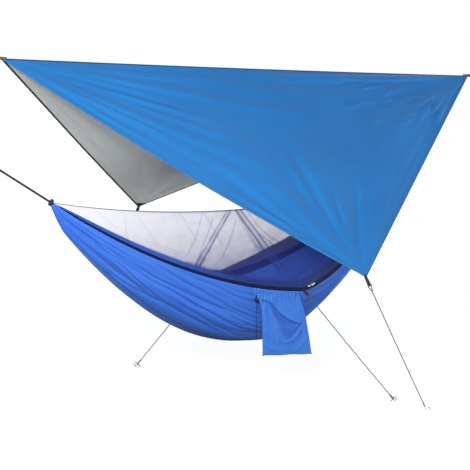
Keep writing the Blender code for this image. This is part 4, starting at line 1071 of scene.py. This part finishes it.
def net():
    """Both halves and the cord that they hang from."""
    mesh = net_material()
    near = net_half("net_near_mesh", "net_near_panel", near_edge, lambda reach: skirt_top(reach) + SEAM,
                    NEAR_PLEATS, NEAR_BANDS, mesh, -1.0, lambda t, v: 0.0 * t)
    far = net_half("net_far_mesh", "net_far_panel", far_edge, lambda reach: band_top(reach) - SEAM,
                   FAR_PLEATS, FAR_BANDS, mesh, 1.0, doubled_mesh)
    ridge = net_ridge(STRIP_END * 1.015 * close_ends(121))
    cord = tube("net_ridge_braided", ridge, CORD_RADIUS, NET_CORD, sides=10)
    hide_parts("net_ridge_cord")


NET_CORD = rope_material("net_cord_braid", (0.030, 0.025, 0.055), (0.100, 0.085, 0.160), 0.005, 4.0, 0.0003)
net()


# Rain fly
# A square of silver-backed ripstop, 2.2 m a side, hung by two corners so that its diagonal is the ridge.
# The front corner is guyed out; the back corner hangs freer. The cloth is pulled into fans at each corner.
FLY_LEFT = np.array([0.19032, 0.0, 0.46887])
FLY_RIGHT = np.array([3.29728, 0.0, 0.33093])
FLY_CENTRE = np.array([1.7438, 0.0, 0.3999])
HALF_DIAGONAL = 1.55563
FRONT_WAY = np.array([-0.02980, -0.74022, -0.67169])
BACK_WAY = np.array([-0.02549, 0.81815, -0.57444])
FRONT_SLOPE, BACK_SLOPE = math.radians(42.25), math.radians(35.10)
FLY_SAG, WING_SAG = 0.006, 0.030
CORNER_CUT = 0.034
CLOTH_SHORT = 0.010
PATCH_LONG = 0.030
# Each row: the corner that the streaks run out from, their height and number, the ranges of their angles,
# starts, lengths and widths, and how far each bows.
FLY_STREAKS = (
    ("left", 0.0095, 10, (0.04, 0.76), (0.03, 0.20), (1.0, 2.0), (0.022, 0.050), 0.0),
    ("left", 0.0055, 14, (0.05, 0.74), (0.10, 0.60), (0.5, 1.2), (0.010, 0.020), 0.0),
    ("right", 0.0105, 26, (0.10, 0.72), (0.20, 0.85), (0.20, 0.34), (0.010, 0.014), 0.08),
    ("right", 0.0070, 4, (0.02, 0.14), (0.03, 0.10), (0.9, 1.9), (0.030, 0.055), 0.0),
    ("below", 0.0080, 11, (-0.70, 0.74), (0.08, 0.30), (0.40, 1.00), (0.016, 0.036), 0.0),
    ("right", 0.0045, 14, (0.12, 0.70), (0.6, 1.3), (0.25, 0.7), (0.016, 0.034), 0.10),
)
RIDGE_FOLD = ((0.0, 0.0), (0.25, -0.030), (0.55, 0.012), (1.0, -0.118), (1.6, -0.046), (4.0, 0.0))


def fly_ridge(u):
    """The ridge from the left corner at u 0 to the right one at 1, with its small sag."""
    ridge = FLY_LEFT + (FLY_RIGHT - FLY_LEFT) * u[..., None]
    ridge[..., 2] -= FLY_SAG * 4.0 * u * (1.0 - u)
    return ridge


def flat_place(u, v):
    """Where (u, v) lies on a wing spread flat, in metres: along the ridge from its middle, and down."""
    return (u - 0.5) * (1.0 - v) * 2.0 * HALF_DIAGONAL, v * HALF_DIAGONAL


def wing_base(u, v, corner, slack):
    """One wing without its folds: u along the ridge, v down to the corner; ridge and edges sag a little."""
    p = fly_ridge(u) * (1.0 - v)[..., None] + corner * v[..., None]
    droop = slack * (1.0 - u) ** 2 + 0.15 * (1.0 - (2.0 * u - 1.0) ** 2)
    p[..., 2] -= WING_SAG * 4.0 * v * (1.0 - v) * droop
    return p


def corner_fan(across, down, count, turn, reach):
    """Broad folds round a corner: waves in the angle that rise and die away along their length."""
    share = (np.hypot(across, down) + 1e-9) / reach
    return np.sin(count * np.arctan2(down, across) + turn) * share * np.exp(1.0 - share) * 0.9


def streaks(across, down, draws, count, angles, starts, longs, wide, bow):
    """Narrow ridges that run out from a corner, each with its own angle, start, length and width."""
    radius = np.hypot(across, down) + 1e-6
    angle = np.arctan2(down, across)
    total = np.zeros_like(radius)
    for k in range(count):
        aim = angles[0] + (angles[1] - angles[0]) * (k + draws.uniform(0.1, 0.9)) / count
        start, long = draws.uniform(*starts), draws.uniform(*longs)
        thick = draws.uniform(*wide)
        share = (radius - start) / long
        line = aim + bow * (share - 0.5) ** 2
        window = np.sin(np.pi * ramp(share)) ** 1.2
        away = radius * (angle - line) / (thick * (0.6 + 0.8 * ramp(share)))
        total += window * draws.uniform(0.5, 1.0) * (np.exp(-(away**2)) - 0.45 * np.exp(-((away + 1.5) ** 2)))
    return total


def wing_folds(u, v, seed, strength):
    """All the folds of one wing in metres: the broad fans, the streaks of each corner, and edge waves."""
    draws = np.random.default_rng(seed)
    x = (u - 0.5) * (1.0 - v) * 2.0
    broad = (corner_fan(x + 1.0, v, 15.0, 0.4, 0.55) + corner_fan(x - 1.0, v, 17.0, 1.1, 0.35)
             + corner_fan(1.0 - v, x, 13.0, 0.2, 0.35))
    hold = np.minimum(1.0, 9.0 * v) * np.minimum(1.0, 7.0 * (1.0 - v))
    east, south = flat_place(u, v)
    from_left, from_right = east + HALF_DIAGONAL, HALF_DIAGONAL - east
    small = np.zeros_like(south)
    corners = {"left": (from_left, south, 1.0), "right": (from_right, south, 1.0),
               "below": (HALF_DIAGONAL - south, east, strength)}
    for corner, height, count, angles, starts, longs, wide, bow in FLY_STREAKS:
        across, down, scale = corners[corner]
        small += height * scale * streaks(across, down, draws, count, angles, starts, longs, wide, bow)
    for side, way in ((-1.0, from_left), (1.0, from_right)):
        edge = (way - south) / math.sqrt(2.0)
        wave = np.cos(2.0 * np.pi * edge / 0.052 + 1.4 * side) * np.exp(-edge / 0.055)
        along = (way + south) / math.sqrt(2.0)
        small += 0.0040 * wave * (0.7 + 0.3 * np.sin(5.0 * along + side)) * ramp(along / 0.3)
        small += 0.0008 * ramp(1.0 - edge / 0.016) ** 0.2
    band = 0.125 * (1.0 - np.exp(-from_right / 0.55)) + 1e-4
    pull = np.interp(south / band, *zip(*RIDGE_FOLD)) * band * ramp((1.95 - from_right) / 0.6)
    slow = 0.0016 * np.sin(9.0 * south + 1.7 * np.sin(2.1 * east)) * np.sin(1.3 * east + 0.5)
    edge_hold = ramp(v / 0.02) * ramp((1.0 - v) / 0.04)
    fans = 0.0060 * strength * broad * hold
    return fans + (small + slow) * (0.4 + 0.6 * strength) * edge_hold + pull


def wing_surface(u, v, corner, way, slack, seed):
    """One wing with its folds, raised along its own normal."""
    normal = np.cross(RIDGE_WAY, way)
    normal *= np.sign(normal[2])
    return wing_base(u, v, corner, slack) + normal * wing_folds(u, v, seed, slack)[..., None]


def silver_material():
    """The fly's silvery inner coat, a little cloudy, with the weave showing through and small creases."""
    made, tree, shader = new_material("fly_silver_back", 0.48, 0.2)
    cloth = use_group(tree, RIPSTOP, Along=uv_of(tree), Cell=0.005, Mottle=1.6, Stretch=3.0)
    color = blend_color(tree, cloth["Shade"], (0.575, 0.615, 0.605), (0.785, 0.825, 0.810))
    tree.links.new(color, shader.inputs["Base Color"])
    emboss(tree, shader, cloth["Crease"], 0.004)
    return made


FLY_CLOTH = cloth_material("fly_ripstop", (0.015, 0.152, 0.425), (0.030, 0.226, 0.590), 0.27, cell=0.005,
                           mottle=1.4, stretch=2.0, crease=0.003, sheen=0.0, shine=0.08, seam=0.010)
FLY_BACK_COAT = silver_material()
WINGS = {"front": (FLY_CENTRE + HALF_DIAGONAL * FRONT_WAY, FRONT_WAY, 1.0, 21),
         "back": (FLY_CENTRE + HALF_DIAGONAL * BACK_WAY, BACK_WAY, 0.3, 22)}


def trim_material(name, dark, light, roughness, shine, rim=None):
    """Woven binding tape; with a rim, the tape's outer edge shows in that pair of shades instead."""
    made, tree, shader = new_material(name, roughness, shine)
    place = uv_of(tree)
    cloth = use_group(tree, RIPSTOP, Along=place, Cell=0.0016, Mottle=6.0, Stretch=1.0)
    color = blend_color(tree, cloth["Shade"], dark, light)
    if rim:
        beyond = calc(tree, "GREATER_THAN", axes(tree, place)[1], RIM_START)
        color = blend_color(tree, beyond, color, blend_color(tree, cloth["Shade"], *rim))
    tree.links.new(color, shader.inputs["Base Color"])
    emboss(tree, shader, cloth["Weave"], 0.0003)
    return made


RIM_START = 0.0040
OLIVE_TRIM = trim_material("olive_trim", (0.014, 0.024, 0.012), (0.040, 0.056, 0.030), 0.72, 0.15)
FLY_HEM = trim_material("fly_hem", (0.020, 0.160, 0.440), (0.036, 0.235, 0.600), 0.60, 0.12,
                        rim=((0.022, 0.030, 0.016), (0.070, 0.085, 0.050)))
TAPE_PROFILE = np.array([(-0.0030, 0.0010), (0.0010, 0.0011), (0.0060, 0.0009), (0.0080, 0.0),
                         (0.0060, -0.0009), (0.0010, -0.0011), (-0.0030, -0.0010)])
TAPE_ACROSS = {"left": (0.0095, 0.0090, 0.0085, 0.0038, 0.0030, 0.0010, -0.0030),
               "right": (-0.0030, 0.0010, 0.0060, 0.0080, 0.0085, 0.0090, 0.0095)}
TAPE_START = 0.008


def wing(word):
    """One wing: its cloth, the tape round its two free edges, and the patch on its corner."""
    corner, way, slack, seed = WINGS[word]
    cut = CLOTH_SHORT / (2.0 * HALF_DIAGONAL)
    patch = PATCH_LONG / HALF_DIAGONAL
    u = cut + (1.0 - 2.0 * cut) * np.interp(np.linspace(0.0, 1.0, 301), (0.0, 0.52, 1.0), (0.0, 0.70, 1.0))
    v = np.interp(np.linspace(0.0, 1.0, 155), (0.0, 0.60, 1.0), (0.0, 0.42, 1.0))
    v = 0.0004 + (1.0 - patch - 0.0004) * v
    grid_u, grid_v = np.meshgrid(u, v, indexing="ij")
    surface = lambda a, b: wing_surface(a, b, corner, way, slack, seed)
    points = surface(grid_u, grid_v)
    east, south = flat_place(grid_u, grid_v)
    turned = (east + south) / math.sqrt(2.0), (south - east) / math.sqrt(2.0)
    cloth = grid_sheet("fly_" + word + "_wing", points, FLY_CLOTH, *turned)
    if np.cross(points[1, 0] - points[0, 0], points[0, 1] - points[0, 0])[2] > 0.0:
        cloth.data.flip_normals()
    thicken(cloth, -CLOTH_THICK, FLY_BACK_COAT)
    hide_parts("fly_" + word + "_panel")
    trims = [edge_tape(word, "left", surface, u[0], corner), edge_tape(word, "right", surface, u[-1], corner),
             corner_patch(word, surface, u, v[-1], patch)]


def edge_tape(word, side, surface, u_edge, corner):
    """Folded tape sewn over a free edge: a flat U that is a little thicker than the cloth."""
    start = surface(np.array([u_edge]), np.array([0.0]))[0]
    way = unit(corner - start)
    outward = (FLY_LEFT if side == "left" else FLY_RIGHT) - FLY_CENTRE
    outward = unit(outward - way * (outward @ way))
    lift = unit(np.cross(way, outward))
    count, first = 221, TAPE_START / HALF_DIAGONAL
    v = first + (1.0 - 0.15 * PATCH_LONG / HALF_DIAGONAL - first) * np.linspace(0.0, 1.0, count)
    edge = surface(0.0 * v + u_edge, v)
    ripple = 0.0004 * np.sin(np.arange(count) * 0.9)
    points = (edge[:, None] + outward * TAPE_PROFILE[None, :, 0:1]
              + lift * (TAPE_PROFILE[None, :, 1:2] * 1.1 + ripple[:, None, None]))
    made_of = {"front": FLY_HEM, "back": OLIVE_TRIM}[word]
    tape = grid_sheet("fly_" + word + "_" + side + "_tape", points, made_of, run_length(edge)[:, None],
                      TAPE_ACROSS[side])
    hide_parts("fly_" + word + "_" + side + "_binding")
    return tape


def corner_patch(word, surface, u, last, patch):
    """A sewn patch that wraps the wing's corner on both faces."""
    overlap, doubled = 0.010 / HALF_DIAGONAL, 0.0026
    v = np.linspace(last - overlap, 1.0 - 0.1 * patch, 13)
    grid_u, grid_v = np.meshgrid(np.linspace(u[0], u[-1], 25), v, indexing="ij")
    made_of = {"front": FLY_CLOTH, "back": OLIVE_TRIM}[word]
    piece = grid_sheet("fly_" + word + "_corner_patch", surface(grid_u, grid_v), made_of,
                       *flat_place(grid_u, grid_v))
    thicken(piece, doubled)
    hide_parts("fly_" + word + "_patch")
    return piece


def fly():
    """Both wings and the thin cord in the seam of the ridge."""
    half_angle = 0.5 * (math.pi - FRONT_SLOPE - BACK_SLOPE)
    radius, clear = 0.0020, 0.0010
    ridge = fly_ridge(np.linspace(0.011, 0.989, 161))
    ridge[:, 2] -= (radius + clear) / math.sin(half_angle)
    cord = tube("fly_ridge_braided", ridge, radius, BLACK_ROPE, sides=10)
    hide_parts("fly_ridge_cord")
    wing("front")
    wing("back")


fly()


# Webbing loops
# Short loops of polyester webbing, 16 mm wide, folded over and box stitched to the hems and corners.
# The olive ones take the fly's ridge lines; the black ones take the guy lines.
WEBBING, WEBBING_THICK = 0.016, 0.0014
BEND = 0.005
FLY_LOOP_LONG, BACK_LOOP_LONG, PULLOUT_LONG = 0.060, 0.040, 0.034
LINE_PAST_LOOP = 0.0298
BACK_LOOP_LEAN = math.radians(2.54)


def webbing_group():
    """Flat woven strap: chevrons of thick yarn across the width and two rows of stitches near the foot."""
    rib_pitch, yarn_pitch, stitch_pitch = 0.0016, 0.0020, 0.0030
    row_place, thread, foot_long = 0.0058, 0.00045, 0.016
    group, given = new_group("webbing")
    axis = axes(group, given["Along"])
    off = calc(group, "ABSOLUTE", axis[1])
    slant = calc(group, "ADD", axis[0], calc(group, "MULTIPLY", off, 0.8))
    waves = (slant, rib_pitch), (axis[1], yarn_pitch), (axis[0], stitch_pitch)
    rib, yarn, dash = (calc(group, "SINE", calc(group, "MULTIPLY", place, 2.0 * math.pi / pitch))
                       for place, pitch in waves)
    height = calc(group, "MULTIPLY_ADD", calc(group, "MULTIPLY", rib, yarn), 0.5, 0.5)
    fuzz = noise(group, given["Along"], 420.0, 2.0)
    # Shade is random yarn tone plus painted shade: lighter on the raised yarn, darker between.
    shade = calc(group, "MULTIPLY_ADD", height, 0.6, calc(group, "MULTIPLY", fuzz, 0.4))
    dash = calc(group, "GREATER_THAN", dash, -0.3)
    row = calc(group, "LESS_THAN", calc(group, "ABSOLUTE", calc(group, "SUBTRACT", off, row_place)), thread)
    foot = calc(group, "LESS_THAN", axis[0], foot_long)
    stitch = calc(group, "MULTIPLY", calc(group, "MULTIPLY", dash, row), foot)
    return end_group(group, Height=height, Shade=shade, Stitch=stitch)


STRAP = webbing_group()


def webbing_material(name, dark, light, thread):
    """Webbing in two shades of one colour with its stitching."""
    made, tree, shader = new_material(name, 0.78)
    strap = use_group(tree, STRAP, Along=uv_of(tree))
    cloth = blend_color(tree, strap["Shade"], dark, light)
    tree.links.new(blend_color(tree, strap["Stitch"], cloth, thread), shader.inputs["Base Color"])
    emboss(tree, shader, calc(tree, "ADD", strap["Height"], strap["Stitch"]), 0.0004)
    return made


BLACK_WEBBING = webbing_material("black_webbing_weave", (0.006, 0.006, 0.006), (0.022, 0.022, 0.021),
                                 (0.060, 0.060, 0.058))
OLIVE_WEBBING = webbing_material("olive_webbing_weave", (0.075, 0.062, 0.016), (0.180, 0.150, 0.050),
                                 (0.020, 0.018, 0.010))


def strap_loop(name, node, root, way, side, length, material, slant=0.0):
    """A loop of webbing: out along way, round its bend and back, both ends laid together at the foot."""
    way, side = unit(way), unit(side)
    lift = np.cross(side, way)
    flat = length - BEND
    route = [(-0.004, 0.0011), (0.0, 0.0011), (0.25 * flat, 0.0017), (0.5 * flat, 0.0029),
             (0.8 * flat, 0.0044)]
    for angle in np.radians(np.linspace(90.0, -90.0, 13)):
        route.append((flat + BEND * math.cos(angle), BEND * math.sin(angle)))
    route += [(x, -y) for x, y in route[4::-1]]
    route = even(np.array([(x, y, 0.0) for x, y in route]), 70)
    run = run_length(route)
    across = np.linspace(-0.5, 0.5, 9) * WEBBING
    ahead = route[:, 0:1] + slant * across * ramp(1.0 - route[:, 0:1] / flat)
    cup = 0.0003 * np.cos(np.pi * across / WEBBING)
    points = (np.asarray(root) + way * ahead[..., None] + lift * (route[:, 1:2] + cup)[..., None]
              + side * across[None, :, None])
    thing = grid_sheet(name, points, material, np.minimum(run, run[-1] - run)[:, None], across)
    thicken(thing, WEBBING_THICK)
    round_off = thing.modifiers.new("round", "BEVEL")
    round_off.width = 0.0004
    round_off.segments = 2
    round_off.limit_method = "ANGLE"
    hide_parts(node)


def fly_loops():
    """The loops at the fly's two ridge corners and its back corner."""
    for word, end, way in (("left", FLY_LEFT, -RIDGE_WAY), ("right", FLY_RIGHT, RIDGE_WAY)):
        root = end - way * (CORNER_CUT - 0.0004)
        strap_loop("fly_" + word + "_strap", "fly_" + word + "_loop", root, way, FRONT_WAY, FLY_LOOP_LONG,
                   OLIVE_WEBBING)
    corner = WINGS["back"][0] - BACK_WAY * 0.1 * PATCH_LONG
    way = unit(BACK_WAY + np.array([0.0, 0.0, -0.6]))
    lean = np.array([math.sin(BACK_LOOP_LEAN), 0.0, math.cos(BACK_LOOP_LEAN)])
    strap_loop("fly_back_strap", "fly_back_loop", corner + 0.0008 * way, way, np.cross(way, lean),
               BACK_LOOP_LONG, BLACK_WEBBING)


def guy_loops():
    """The loops that the three guy lines are tied to."""
    for word, node, length in (("front", "fly_front_strap", FLY_LOOP_LONG),
                               ("near", "near_pullout_loop", PULLOUT_LONG),
                               ("far", "far_pullout_loop", PULLOUT_LONG)):
        start, _, peg_top, hem = GUY_RUNS[word]
        way = unit(peg_top - start)
        side = unit(hem - way * (hem @ way))
        root = start - way * (length + LINE_PAST_LOOP)
        strap_loop(word + "_guy_strap", node, root, way, side, length, BLACK_WEBBING,
                   (hem @ way) / (hem @ side))


fly_loops()
guy_loops()


# Stuff pouch
# The hammock packs into this bag, sewn of the same cloth. Its gathered header hangs from the near edge and
# the empty bag falls flat below it, with one big fold from its top left corner and a corded seam round it.
POUCH_HINGE = np.array([1.64629, -0.39019, -0.82826])
POUCH_WAY = np.array([0.94258, -0.33399, 0.0])
POUCH_OUT = np.array([-0.33399, -0.94258, 0.0])
DOWN = np.array([0.0, 0.0, -1.0])
POUCH_WIDE, POUCH_TALL, POUCH_GAP = 0.256, 0.345, 0.0008
POUCH_FULL, POUCH_HEM, POUCH_FOOT = 0.014, 0.007, 0.004
HEADER_REACH = (-0.100, 0.103)
GATHER_PITCH = 0.0165
CREASE_COUNT = 60
POUCH_SIDES = ((0.00, -0.490, 0.510), (0.03, -0.460, 0.520), (0.10, -0.375, 0.550), (0.22, -0.325, 0.600),
               (0.38, -0.310, 0.655), (0.55, -0.300, 0.695), (0.72, -0.295, 0.735), (0.87, -0.290, 0.765),
               (0.96, -0.288, 0.785), (1.00, -0.287, 0.790))
MAIN_FOLD = ((-0.085, 0.028), (-0.050, 0.038), (-0.023, 0.055), (0.000, 0.084), (0.022, 0.110),
             (0.067, 0.143), (0.100, 0.160), (0.126, 0.168))
FLAP_FOOT = ((-0.050, 0.036), (-0.015, 0.125), (0.025, 0.200), (0.047, 0.262), (0.087, 0.278),
             (0.140, 0.245), (0.158, 0.165))
SWIRLS = (
    (((0.005, 0.235), (0.035, 0.268), (0.075, 0.272), (0.115, 0.250), (0.150, 0.205)), 0.0034, 0.010),
    (((0.095, 0.252), (0.120, 0.232), (0.140, 0.208), (0.150, 0.175)), 0.0028, 0.007),
    (((0.060, 0.215), (0.085, 0.212), (0.105, 0.195), (0.125, 0.178), (0.140, 0.140)), 0.0030, 0.008),
    (((0.015, 0.140), (0.040, 0.180), (0.060, 0.200), (0.090, 0.190), (0.105, 0.170)), 0.0026, 0.008),
    (((-0.030, 0.085), (-0.018, 0.125), (0.000, 0.175), (0.012, 0.235), (0.020, 0.300)), 0.0022, 0.012),
    (((0.185, 0.215), (0.165, 0.262), (0.140, 0.300), (0.110, 0.335)), 0.0024, 0.010),
    (((-0.078, 0.030), (-0.066, 0.060), (-0.060, 0.110), (-0.056, 0.160)), 0.0030, 0.006),
    (((-0.070, 0.270), (-0.040, 0.300), (0.000, 0.318), (0.050, 0.316)), 0.0018, 0.012),
)


def pouch_sides(level):
    """Where the bag's left and right sides are at a level, along its hang line."""
    levels, left, right = zip(*POUCH_SIDES)
    soft = [sum(np.interp(ramp(level + step), levels, side) for step in (-0.03, 0.0, 0.03)) / 3.0
            for side in (left, right)]
    blend = ramp(level / 0.04)
    return [POUCH_WIDE * (end + (value - end) * blend) for end, value in zip((left[0], right[0]), soft)]


def gather_phase(across):
    """How far round its wave each gather under the hem is, in radians; the gathers aren't quite even."""
    return 2.0 * np.pi * across / GATHER_PITCH + 1.1 * np.sin(38.0 * across)


def foot_wave(across):
    """How far the bag's foot hangs below its mean line, in metres."""
    return 0.0016 * np.sin(across * 46.0 + 0.6)


def path_fold(across, down, points, width):
    """A soft ridge along a curve of chosen points: 1 on the curve, falling away within the width."""
    count = 40
    path = even(np.array([(x, y, 0.0) for x, y in points]), count)[:, :2]
    gap = np.hypot(across[..., None] - path[:, 0], down[..., None] - path[:, 1])
    fade = np.sin(np.pi * (gap.argmin(axis=-1) + 1.0) / (count + 1.0)) ** 0.7
    return np.exp(-((gap.min(axis=-1) / width) ** 2)) * fade


def pouch_relief(across, down, draws, front):
    """Height of the bag's cloth over its flat shape at each place across and down it, in metres."""
    phase = gather_phase(across) + 16.0 * down * np.sin(55.0 * across)
    height = 0.0046 * np.exp(-down / 0.030) * np.sin(phase) * (1.0 if front else -1.0)
    height += 0.0016 * np.exp(-down / 0.060) * np.sin(2.0 * np.pi * across / 0.026 + 2.0)
    streak = np.sin(2.0 * np.pi * across / 0.0125 + 3.0 * np.sin(5.0 * down))
    height += streak * hump(across + 0.040, 0.0007, 0.045) * ramp((down - 0.06) / 0.08)
    for _ in range(CREASE_COUNT):
        x, y = draws.uniform(-0.08, 0.19), draws.uniform(0.03, 0.33)
        turn, long, thin = draws.uniform(0.0, np.pi), draws.uniform(0.012, 0.045), draws.uniform(0.004, 0.009)
        a = (across - x) * math.cos(turn) + (down - y) * math.sin(turn)
        b = (down - y) * math.cos(turn) - (across - x) * math.sin(turn)
        height += draws.uniform(-0.0016, 0.0016) * np.exp(-((a / long) ** 2) - (b / thin) ** 2)
    if front:
        gap = (down - np.interp(across, *zip(*MAIN_FOLD))) * 0.78
        window = ramp((across + 0.090) / 0.02) * ramp((0.150 - across) / 0.04)
        lip = np.where(gap < 0.0, np.exp(gap / 0.030), hump(gap, 1.0, 0.0032))
        height += window * (0.0125 * lip - hump(gap - 0.016, 0.0085, 0.014))
        for points, tall, width in SWIRLS:
            height += 1.8 * tall * path_fold(across, down, points, width)
    return height


def painted_fold_shade(across, down):
    """Painted shade under the main fold: 1 from the fold down to the foot of the flap, and 0 elsewhere."""
    fold = np.interp(across, *zip(*MAIN_FOLD))
    foot = np.interp(across, *zip(*FLAP_FOOT))
    return ramp((down - fold) / 0.006) * ramp((foot - down) / 0.022)


def pouch_bag():
    """The bag as one closed skin, with its front and back relief."""
    draws = np.random.default_rng(31)
    level = np.concatenate([[0.0], np.linspace(0.0, 1.0, 171), [1.0]])
    front = close_ends(111)
    ring = np.concatenate([front, front[-2:0:-1]])
    face = np.where(np.arange(len(ring)) < len(front), 1.0, -1.0)
    left, right = pouch_sides(level)
    across = 0.5 * (left + right)[:, None] + 0.5 * (right - left)[:, None] * ring
    down = POUCH_TALL * np.repeat(level[:, None], len(ring), axis=1)
    rim = POUCH_HEM + (POUCH_FOOT - POUCH_HEM) * level
    thick = rim + (POUCH_FULL - rim) * np.sin(np.pi * level) ** 0.7
    thick[0] = thick[-1] = CLOTH_THICK
    round_off = (1.0 - np.abs(ring) ** (2.0 / 0.55)) ** 0.375
    away = 0.5 * thick[:, None] * face * round_off
    hold = ramp((1.0 - np.abs(ring)) / 0.05) ** 0.7
    end_hold = ramp(level / 0.030) * ramp((1.0 - level) / 0.02)
    fronts = pouch_relief(across, down, draws, True)
    backs = 0.3 * pouch_relief(across, down, draws, False)
    away += np.where(face > 0.0, fronts, -backs) * hold * end_hold[:, None]
    wavy = foot_wave(across) * level[:, None] ** 3
    points = (POUCH_HINGE + POUCH_WAY * across[..., None] + POUCH_OUT * away[..., None]
              + DOWN * (POUCH_GAP + down + wavy)[..., None])
    bag = grid_sheet("pouch_skin", points, POUCH_CLOTH, across + 0.4 * (1.0 - face), down, body="pouch",
                     wrap=True)
    # The "doubled" mark is painted shade under the front's main fold.
    write_mark(bag, "doubled", np.where(face > 0.0, painted_fold_shade(across, down), 0.0))
    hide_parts("pouch_bag")
    return bag


def pouch_seam():
    """The corded seam down both sides and along the foot, and the bar tacks at its corners."""
    level = np.linspace(0.02, 1.0, 90)
    left, right = pouch_sides(level)
    foot = np.linspace(0.0, 1.0, 60)[1:-1]
    bottom = left[-1] + (right[-1] - left[-1]) * foot
    across = np.concatenate([left, bottom, right[::-1]])
    down = np.concatenate([level, np.ones(len(foot)), level[::-1]]) * POUCH_TALL
    down += np.where(down > 0.3, foot_wave(across) * (down / POUCH_TALL) ** 3, 0.0)
    path = POUCH_HINGE + POUCH_WAY * across[:, None] + DOWN * (POUCH_GAP + down)[:, None]
    seam = tube("pouch_corded_seam", even(path, 300), 0.0013, SEAM_CLOTH, sides=8, body="pouch")
    tacks = []
    corners = path[len(level) - 1], path[len(level) + len(foot)]
    for word, place, lean in zip(("left", "right"), corners, (-1.0, 1.0)):
        way = unit(POUCH_WAY * lean + DOWN * 0.6)
        tack = knot("pouch_tack_" + word, place - way * 0.004, way, 0.0028, 0.009, THIN_CORD, body="pouch")
        tacks.append(tack)
    return [seam, *tacks]


def pouch_header():
    """The gathered strip between the hammock's edge and the bag, with the drawcord's end at its right."""
    t = np.linspace(*HEADER_REACH, 181)
    hem = near_edge(t) + POUCH_OUT * 0.0014 + DOWN * SEAM
    foot = POUCH_HINGE + POUCH_WAY * ((hem - POUCH_HINGE) @ POUCH_WAY)[:, None]
    v = np.linspace(0.0, 1.0, 21)
    points = hem[:, None] + (foot - hem)[:, None] * v[None, :, None]
    across = ((hem - POUCH_HINGE) @ POUCH_WAY)[:, None] + 0.0 * v
    above = np.linalg.norm(foot - hem, axis=-1)[:, None] * (1.0 - v)
    ruffle = 1.2 + np.sin(gather_phase(across))
    puff = 0.0022 * ruffle * ramp((above - 0.007) / 0.010) * ramp(v / 0.25)
    points = points + POUCH_OUT * puff[..., None]
    header = grid_sheet("pouch_gathered_header", points, POUCH_CLOTH, across, 0.02 * v - 0.03)
    thicken(header, 0.0010)
    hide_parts("pouch_header")
    place = POUCH_HINGE + POUCH_WAY * 0.112 + POUCH_OUT * 0.0060 + DOWN * 0.003
    way = DOWN + POUCH_WAY * 0.5
    stub = knot("pouch_cord_stub", place, way, 0.0024, 0.010, THIN_CORD, body="pouch")
    return [header, stub]


def pouch_material():
    """The body's cloth, with painted shade a third darker under the main fold of the front."""
    made = cloth_material("pouch_ripstop", (0.036, 0.148, 0.560), (0.072, 0.236, 0.735), 0.34, cell=0.004,
                          mottle=9.0, stretch=2.0, crease=0.0014, sheen=0.04, shine=0.10)
    # Painted shade under the main fold, from the "doubled" mark.
    return turned_where(made, read_mark(made.node_tree, "doubled"), (0.044, 0.134, 0.525))


POUCH_CLOTH = pouch_material()
SEAM_CLOTH = cloth_material("pouch_seam_cloth", (0.012, 0.050, 0.230), (0.024, 0.090, 0.360), 0.60,
                            cell=0.002, mottle=30.0, stretch=1.0, crease=0.0006)
bag = pouch_bag()
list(pouch_seam())
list(pouch_header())


# Metal and plastic
# The carabiners and pegs are bent steel rod, and each carabiner's gate turns on a riveted pin. The zip's
# sliders and pulls are cast zinc, nickel plated, and the cord lock is moulded acetal with a sprung button.
# All of them keep their modelled shapes.
STEEL_NODES = ("left_carabiner", "left_carabiner_gate", "left_gate_pin", "right_carabiner",
               "right_carabiner_gate", "right_gate_pin", "front_peg", "near_peg", "far_peg")
ZINC_NODES = ("zip_slider_left", "zip_slider_right", "zip_pull_left", "zip_pull_right")
ACETAL_NODES = ("cord_lock_body", "cord_lock_button")


def worn_group():
    """Soft handling wear: fine scratches along one direction over a broad cloudiness."""
    group, given = new_group("worn", Size=60.0)
    axis = axes(group, given["Along"])
    drawn_out = calc(group, "MULTIPLY", axis[0], 0.15)
    long = wired(group, "ShaderNodeCombineXYZ", i0=drawn_out, i1=axis[1], i2=axis[2]).outputs[0]
    cloud = noise(group, given["Along"], given["Size"], 4.0, 0.6)
    scratch = noise(group, long, calc(group, "MULTIPLY", given["Size"], 22.0), 3.0)
    return end_group(group, Cloud=cloud, Scratch=scratch)


WORN = worn_group()


def worn_material(name, dark, light, rough, size, metal=True):
    """Cloudy, finely scratched metal, or moulded plastic whose shine varies with its cloudiness instead."""
    made, tree, shader = new_material(name)
    shader.inputs["Metallic"].default_value = 1.0 if metal else 0.0
    place = wired(tree, "ShaderNodeTexCoord").outputs["Object"]
    worn = use_group(tree, WORN, Along=place, Size=size)
    tree.links.new(blend_color(tree, worn["Cloud"], dark, light), shader.inputs["Base Color"])
    mark, spread, depth = ("Scratch", 0.22, 0.00004) if metal else ("Cloud", 0.20, 0.00005)
    varied = calc(tree, "MULTIPLY_ADD", worn[mark], spread, rough - 0.5 * spread)
    tree.links.new(varied, shader.inputs["Roughness"])
    emboss(tree, shader, worn["Scratch"], depth)
    return made


def finish_nodes():
    """Gives each modelled metal and plastic node its material."""
    steel = worn_material("bright_steel", (0.46, 0.46, 0.47), (0.62, 0.62, 0.63), 0.28, 40.0)
    nickel = worn_material("nickel_plate", (0.55, 0.53, 0.49), (0.72, 0.70, 0.66), 0.18, 90.0)
    acetal = worn_material("black_acetal", (0.010, 0.010, 0.011), (0.024, 0.024, 0.025), 0.42, 120.0,
                           metal=False)
    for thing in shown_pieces():
        for nodes, look in ((STEEL_NODES, steel), (ZINC_NODES, nickel), (ACETAL_NODES, acetal)):
            if thing.name in nodes:
                for place in thing.material_slots:
                    place.material = look


finish_nodes()
